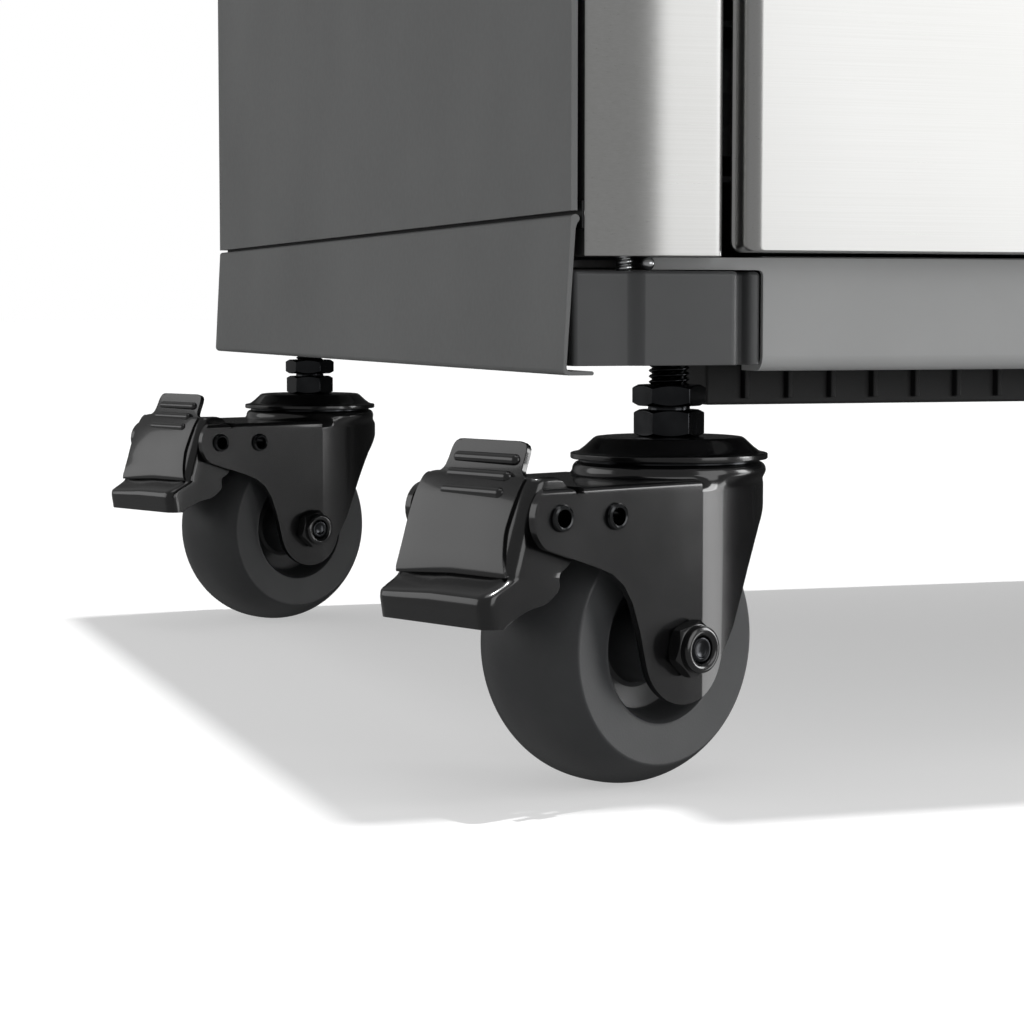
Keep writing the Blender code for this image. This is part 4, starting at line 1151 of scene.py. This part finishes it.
def tube_mesh(points, radius, around=32):
    """A round tube along a line in space."""
    curve = bpy.data.curves.new("tube", "CURVE")
    curve.dimensions = "3D"
    curve.bevel_depth, curve.bevel_resolution, curve.use_fill_caps = radius, around // 4, True
    spline = curve.splines.new("POLY")
    spline.points.add(len(points) - 1)
    for point, place in zip(spline.points, points):
        point.co = (*place, 1)
    thing = bpy.data.objects.new("tube", curve)
    bpy.context.collection.objects.link(thing)
    mesh = bake(thing)
    mesh.shade_smooth()
    mesh.set_sharp_from_angle(angle=math.radians(40))
    return mesh


axis_z = (handle_low.z + handle_high.z) / 2
far_x = handle_high.x - TUBE
near_y, rear_y = handle_low.y + TUBE, handle_high.y - TUBE
flat = [(handle_low.x, near_y)] + arc((far_x - HANDLE_BEND, near_y + HANDLE_BEND), HANDLE_BEND, 270, 360, 14)
flat += arc((far_x - HANDLE_BEND, rear_y - HANDLE_BEND), HANDLE_BEND, 0, 90, 14) + [(handle_low.x, rear_y)]
tube = tube_mesh([(x, y, axis_z) for x, y in flat], TUBE)
show("handle_tube", tube, STAINLESS_UPRIGHT, "root", replaces=["push_handle"])
for end_name, y in (("front", near_y), ("rear", rear_y)):
    flange = turned([(TUBE, 0), (TUBE + 7 * MM, 0), (TUBE + 7 * MM, 1.4 * MM), (TUBE + 5.6 * MM, 2.6 * MM),
                     (TUBE + 0.6 * MM, 3.4 * MM), (TUBE, 3.4 * MM), (TUBE, 0)], 64, "x")
    show(f"handle_flange_{end_name}", shaped(moved(flange, (handle_low.x, y, axis_z)), 0.2), BLACK_NYLON,
         "root")
print("handle:", round((rear_y - near_y) / MM), "mm between its ends")

# %% [markdown]
# ## Plain sheet-metal pieces
# The side panels, back, top, floor, liners, drawer boxes and lock are plain enough to keep the frame's own shape,
# so only their finish changes.

# %% Finishes on the frame's own pieces
FINISHES = {
    "left_side_panel": CHARCOAL_POWDER_COAT, "right_side_panel": CHARCOAL_POWDER_COAT,
    "back_panel": CHARCOAL_POWDER_COAT, "top_panel": CHARCOAL_POWDER_COAT, "base_pan": CHARCOAL_POWDER_COAT,
    "left_slide_liner": GALVANISED_SHEET, "right_slide_liner": GALVANISED_SHEET,
    "lock_cylinder": BRIGHT_ZINC, **{f"{body}_box": GALVANISED_SHEET for body in DRAWERS}}
for node, material in FINISHES.items():
    thing = frame["nodes"][node]
    thing.data.materials.clear()
    thing.data.materials.append(material)
    thing.data.shade_smooth()
    thing.data.set_sharp_from_angle(angle=math.radians(25))
print("finished in place:", len(FINISHES))

# %% [markdown]
# ## Floor, light and camera
# The chest stands on a pale studio floor under soft white light. A large softbox to the front right fills the
# stainless faces, and a strip at the right draws the long highlights on the enamel. A low card shows only in the
# casters' reflections, where the enamel needs something bright to mirror. Two more softboxes fill from the left and
# from above, and one distant lamp, nearly overhead, throws the crisp shadow. The world is dimmer in one sector, so
# that the bends in the steel show a dark side. The camera is low, by the front left corner, with a long lens.

# %% Floor


def floor_sheet(name, colour, glow, drop):
    """A wide plane at a small depth under the floor level."""
    bm = bmesh.new()
    bmesh.ops.create_grid(bm, x_segments=1, y_segments=1, size=30)
    moved(bm, (0, 0, -drop))
    mesh = bpy.data.meshes.new(name)
    bm.to_mesh(mesh)
    bm.free()
    material, _, shader, _ = new_material(f"{name}_matt_paint", Roughness=0.9, Metallic=0.0)
    shader.inputs["Base Color"].default_value = linear(colour)
    shader.inputs["Emission Color"].default_value = linear("#ffffff")
    shader.inputs["Emission Strength"].default_value = glow
    mesh.materials.append(material)
    thing = bpy.data.objects.new(name, mesh)
    bpy.context.collection.objects.link(thing)
    return thing


floor = floor_sheet("floor", "#bcbcbc", 0.46, 0)
floor.visible_diffuse = floor.visible_glossy = floor.visible_transmission = floor.visible_shadow = False
bounce = floor_sheet("floor_bounce", "#9a9a9a", 0, 0.5 * MM)
bounce.visible_camera = bounce.visible_glossy = bounce.visible_shadow = False

# %% Light
world = bpy.data.worlds.new("studio")
bpy.context.scene.world = world
world.use_nodes = True
sky = world.node_tree
background = sky.nodes["Background"]
background.inputs["Color"].default_value = linear("#ffffff")
rays = add(sky, "LightPath")
brightness = add(sky, "MapRange", {"Value": rays.outputs["Is Camera Ray"]}, {"To Min": 0.27, "To Max": 1.0})
heading = add(sky, "VectorMath", {0: add(sky, "TexCoord").outputs["Generated"]}, {1: (0.64, 0.77, 0.0)},
              operation="DOT_PRODUCT")
dark_sector = add(sky, "MapRange", {"Value": heading.outputs["Value"]},
                  {"From Min": 0.5, "From Max": 0.75, "To Min": 1.0, "To Max": 0.1})
seen = add(sky, "Math", {0: dark_sector.outputs["Result"], 1: rays.outputs["Is Camera Ray"]}, operation="MAXIMUM")
strength = add(sky, "Math", {0: seen.outputs["Value"], 1: brightness.outputs["Result"]}, operation="MULTIPLY")
sky.links.new(strength.outputs["Value"], background.inputs["Strength"])


def softbox(name, place, target, size, brightness):
    """A rectangular light; brightness is what a mirror would show, where 1 is white."""
    light = bpy.data.lights.new(name, "AREA")
    light.shape, light.size, light.size_y = "RECTANGLE", size[0], size[1]
    light.energy = brightness * math.pi * size[0] * size[1]
    thing = bpy.data.objects.new(name, light)
    bpy.context.collection.objects.link(thing)
    thing.location = place
    thing.rotation_euler = (Vector(target) - Vector(place)).to_track_quat("-Z", "Y").to_euler()
    return thing


softbox("front_softbox", (1.1, -2.2, 0.85), (0.0, -0.2, 0.3), (1.6, 1.9), 1.75)
softbox("right_strip", (1.4, -0.55, 0.4), (-0.3, -0.15, 0.05), (0.5, 0.8), 6.5)
low_card = softbox("low_card", (0.063, -0.218, -0.03), (-0.356, -0.197, -0.03), (0.11, 0.22), 2.6)
low_card.visible_diffuse = low_card.visible_camera = False
low_card.light_linking.receiver_collection = CASTER_PIECES
softbox("left_softbox", (-1.9, 0.6, 0.52), (-0.39, -0.19, 0.06), (1.3, 0.9), 1.1)
softbox("top_softbox", (-0.2, -0.4, 2.6), (0, 0, 0.5), (2.0, 1.6), 1.0)
sun = bpy.data.lights.new("shadow_lamp", "SUN")
sun.energy, sun.angle = 3.0, math.radians(0.8)
lamp = bpy.data.objects.new("shadow_lamp", sun)
bpy.context.collection.objects.link(lamp)
lamp.rotation_euler = Vector((-0.064, -0.012, -1)).to_track_quat("-Z", "Y").to_euler()

# %% Camera
CAMERA_OUT, CAMERA_AHEAD, CAMERA_HIGH = 182.1 * MM, 530.2 * MM, 106 * MM  # from the skirt, the block and the floor
CAMERA_DOWN, CAMERA_TURN = 4.4, 17.8  # degrees below level, and towards the chest
block_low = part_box("corner_block_front_left")[0]
camera_data = bpy.data.cameras.new("camera")
camera_data.lens, camera_data.sensor_width = 91.1, 36
camera_data.clip_start, camera_data.clip_end = 0.02, 100
camera = bpy.data.objects.new("camera", camera_data)
bpy.context.collection.objects.link(camera)
camera.location = (skirt_low.x - CAMERA_OUT, block_low.y - CAMERA_AHEAD, CAMERA_HIGH)
camera.rotation_euler = (math.radians(90 - CAMERA_DOWN), 0, math.radians(-CAMERA_TURN))
bpy.context.scene.camera = camera
bpy.context.scene.view_settings.view_transform = "Standard"
print("camera at", [round(c, 3) for c in camera.location])
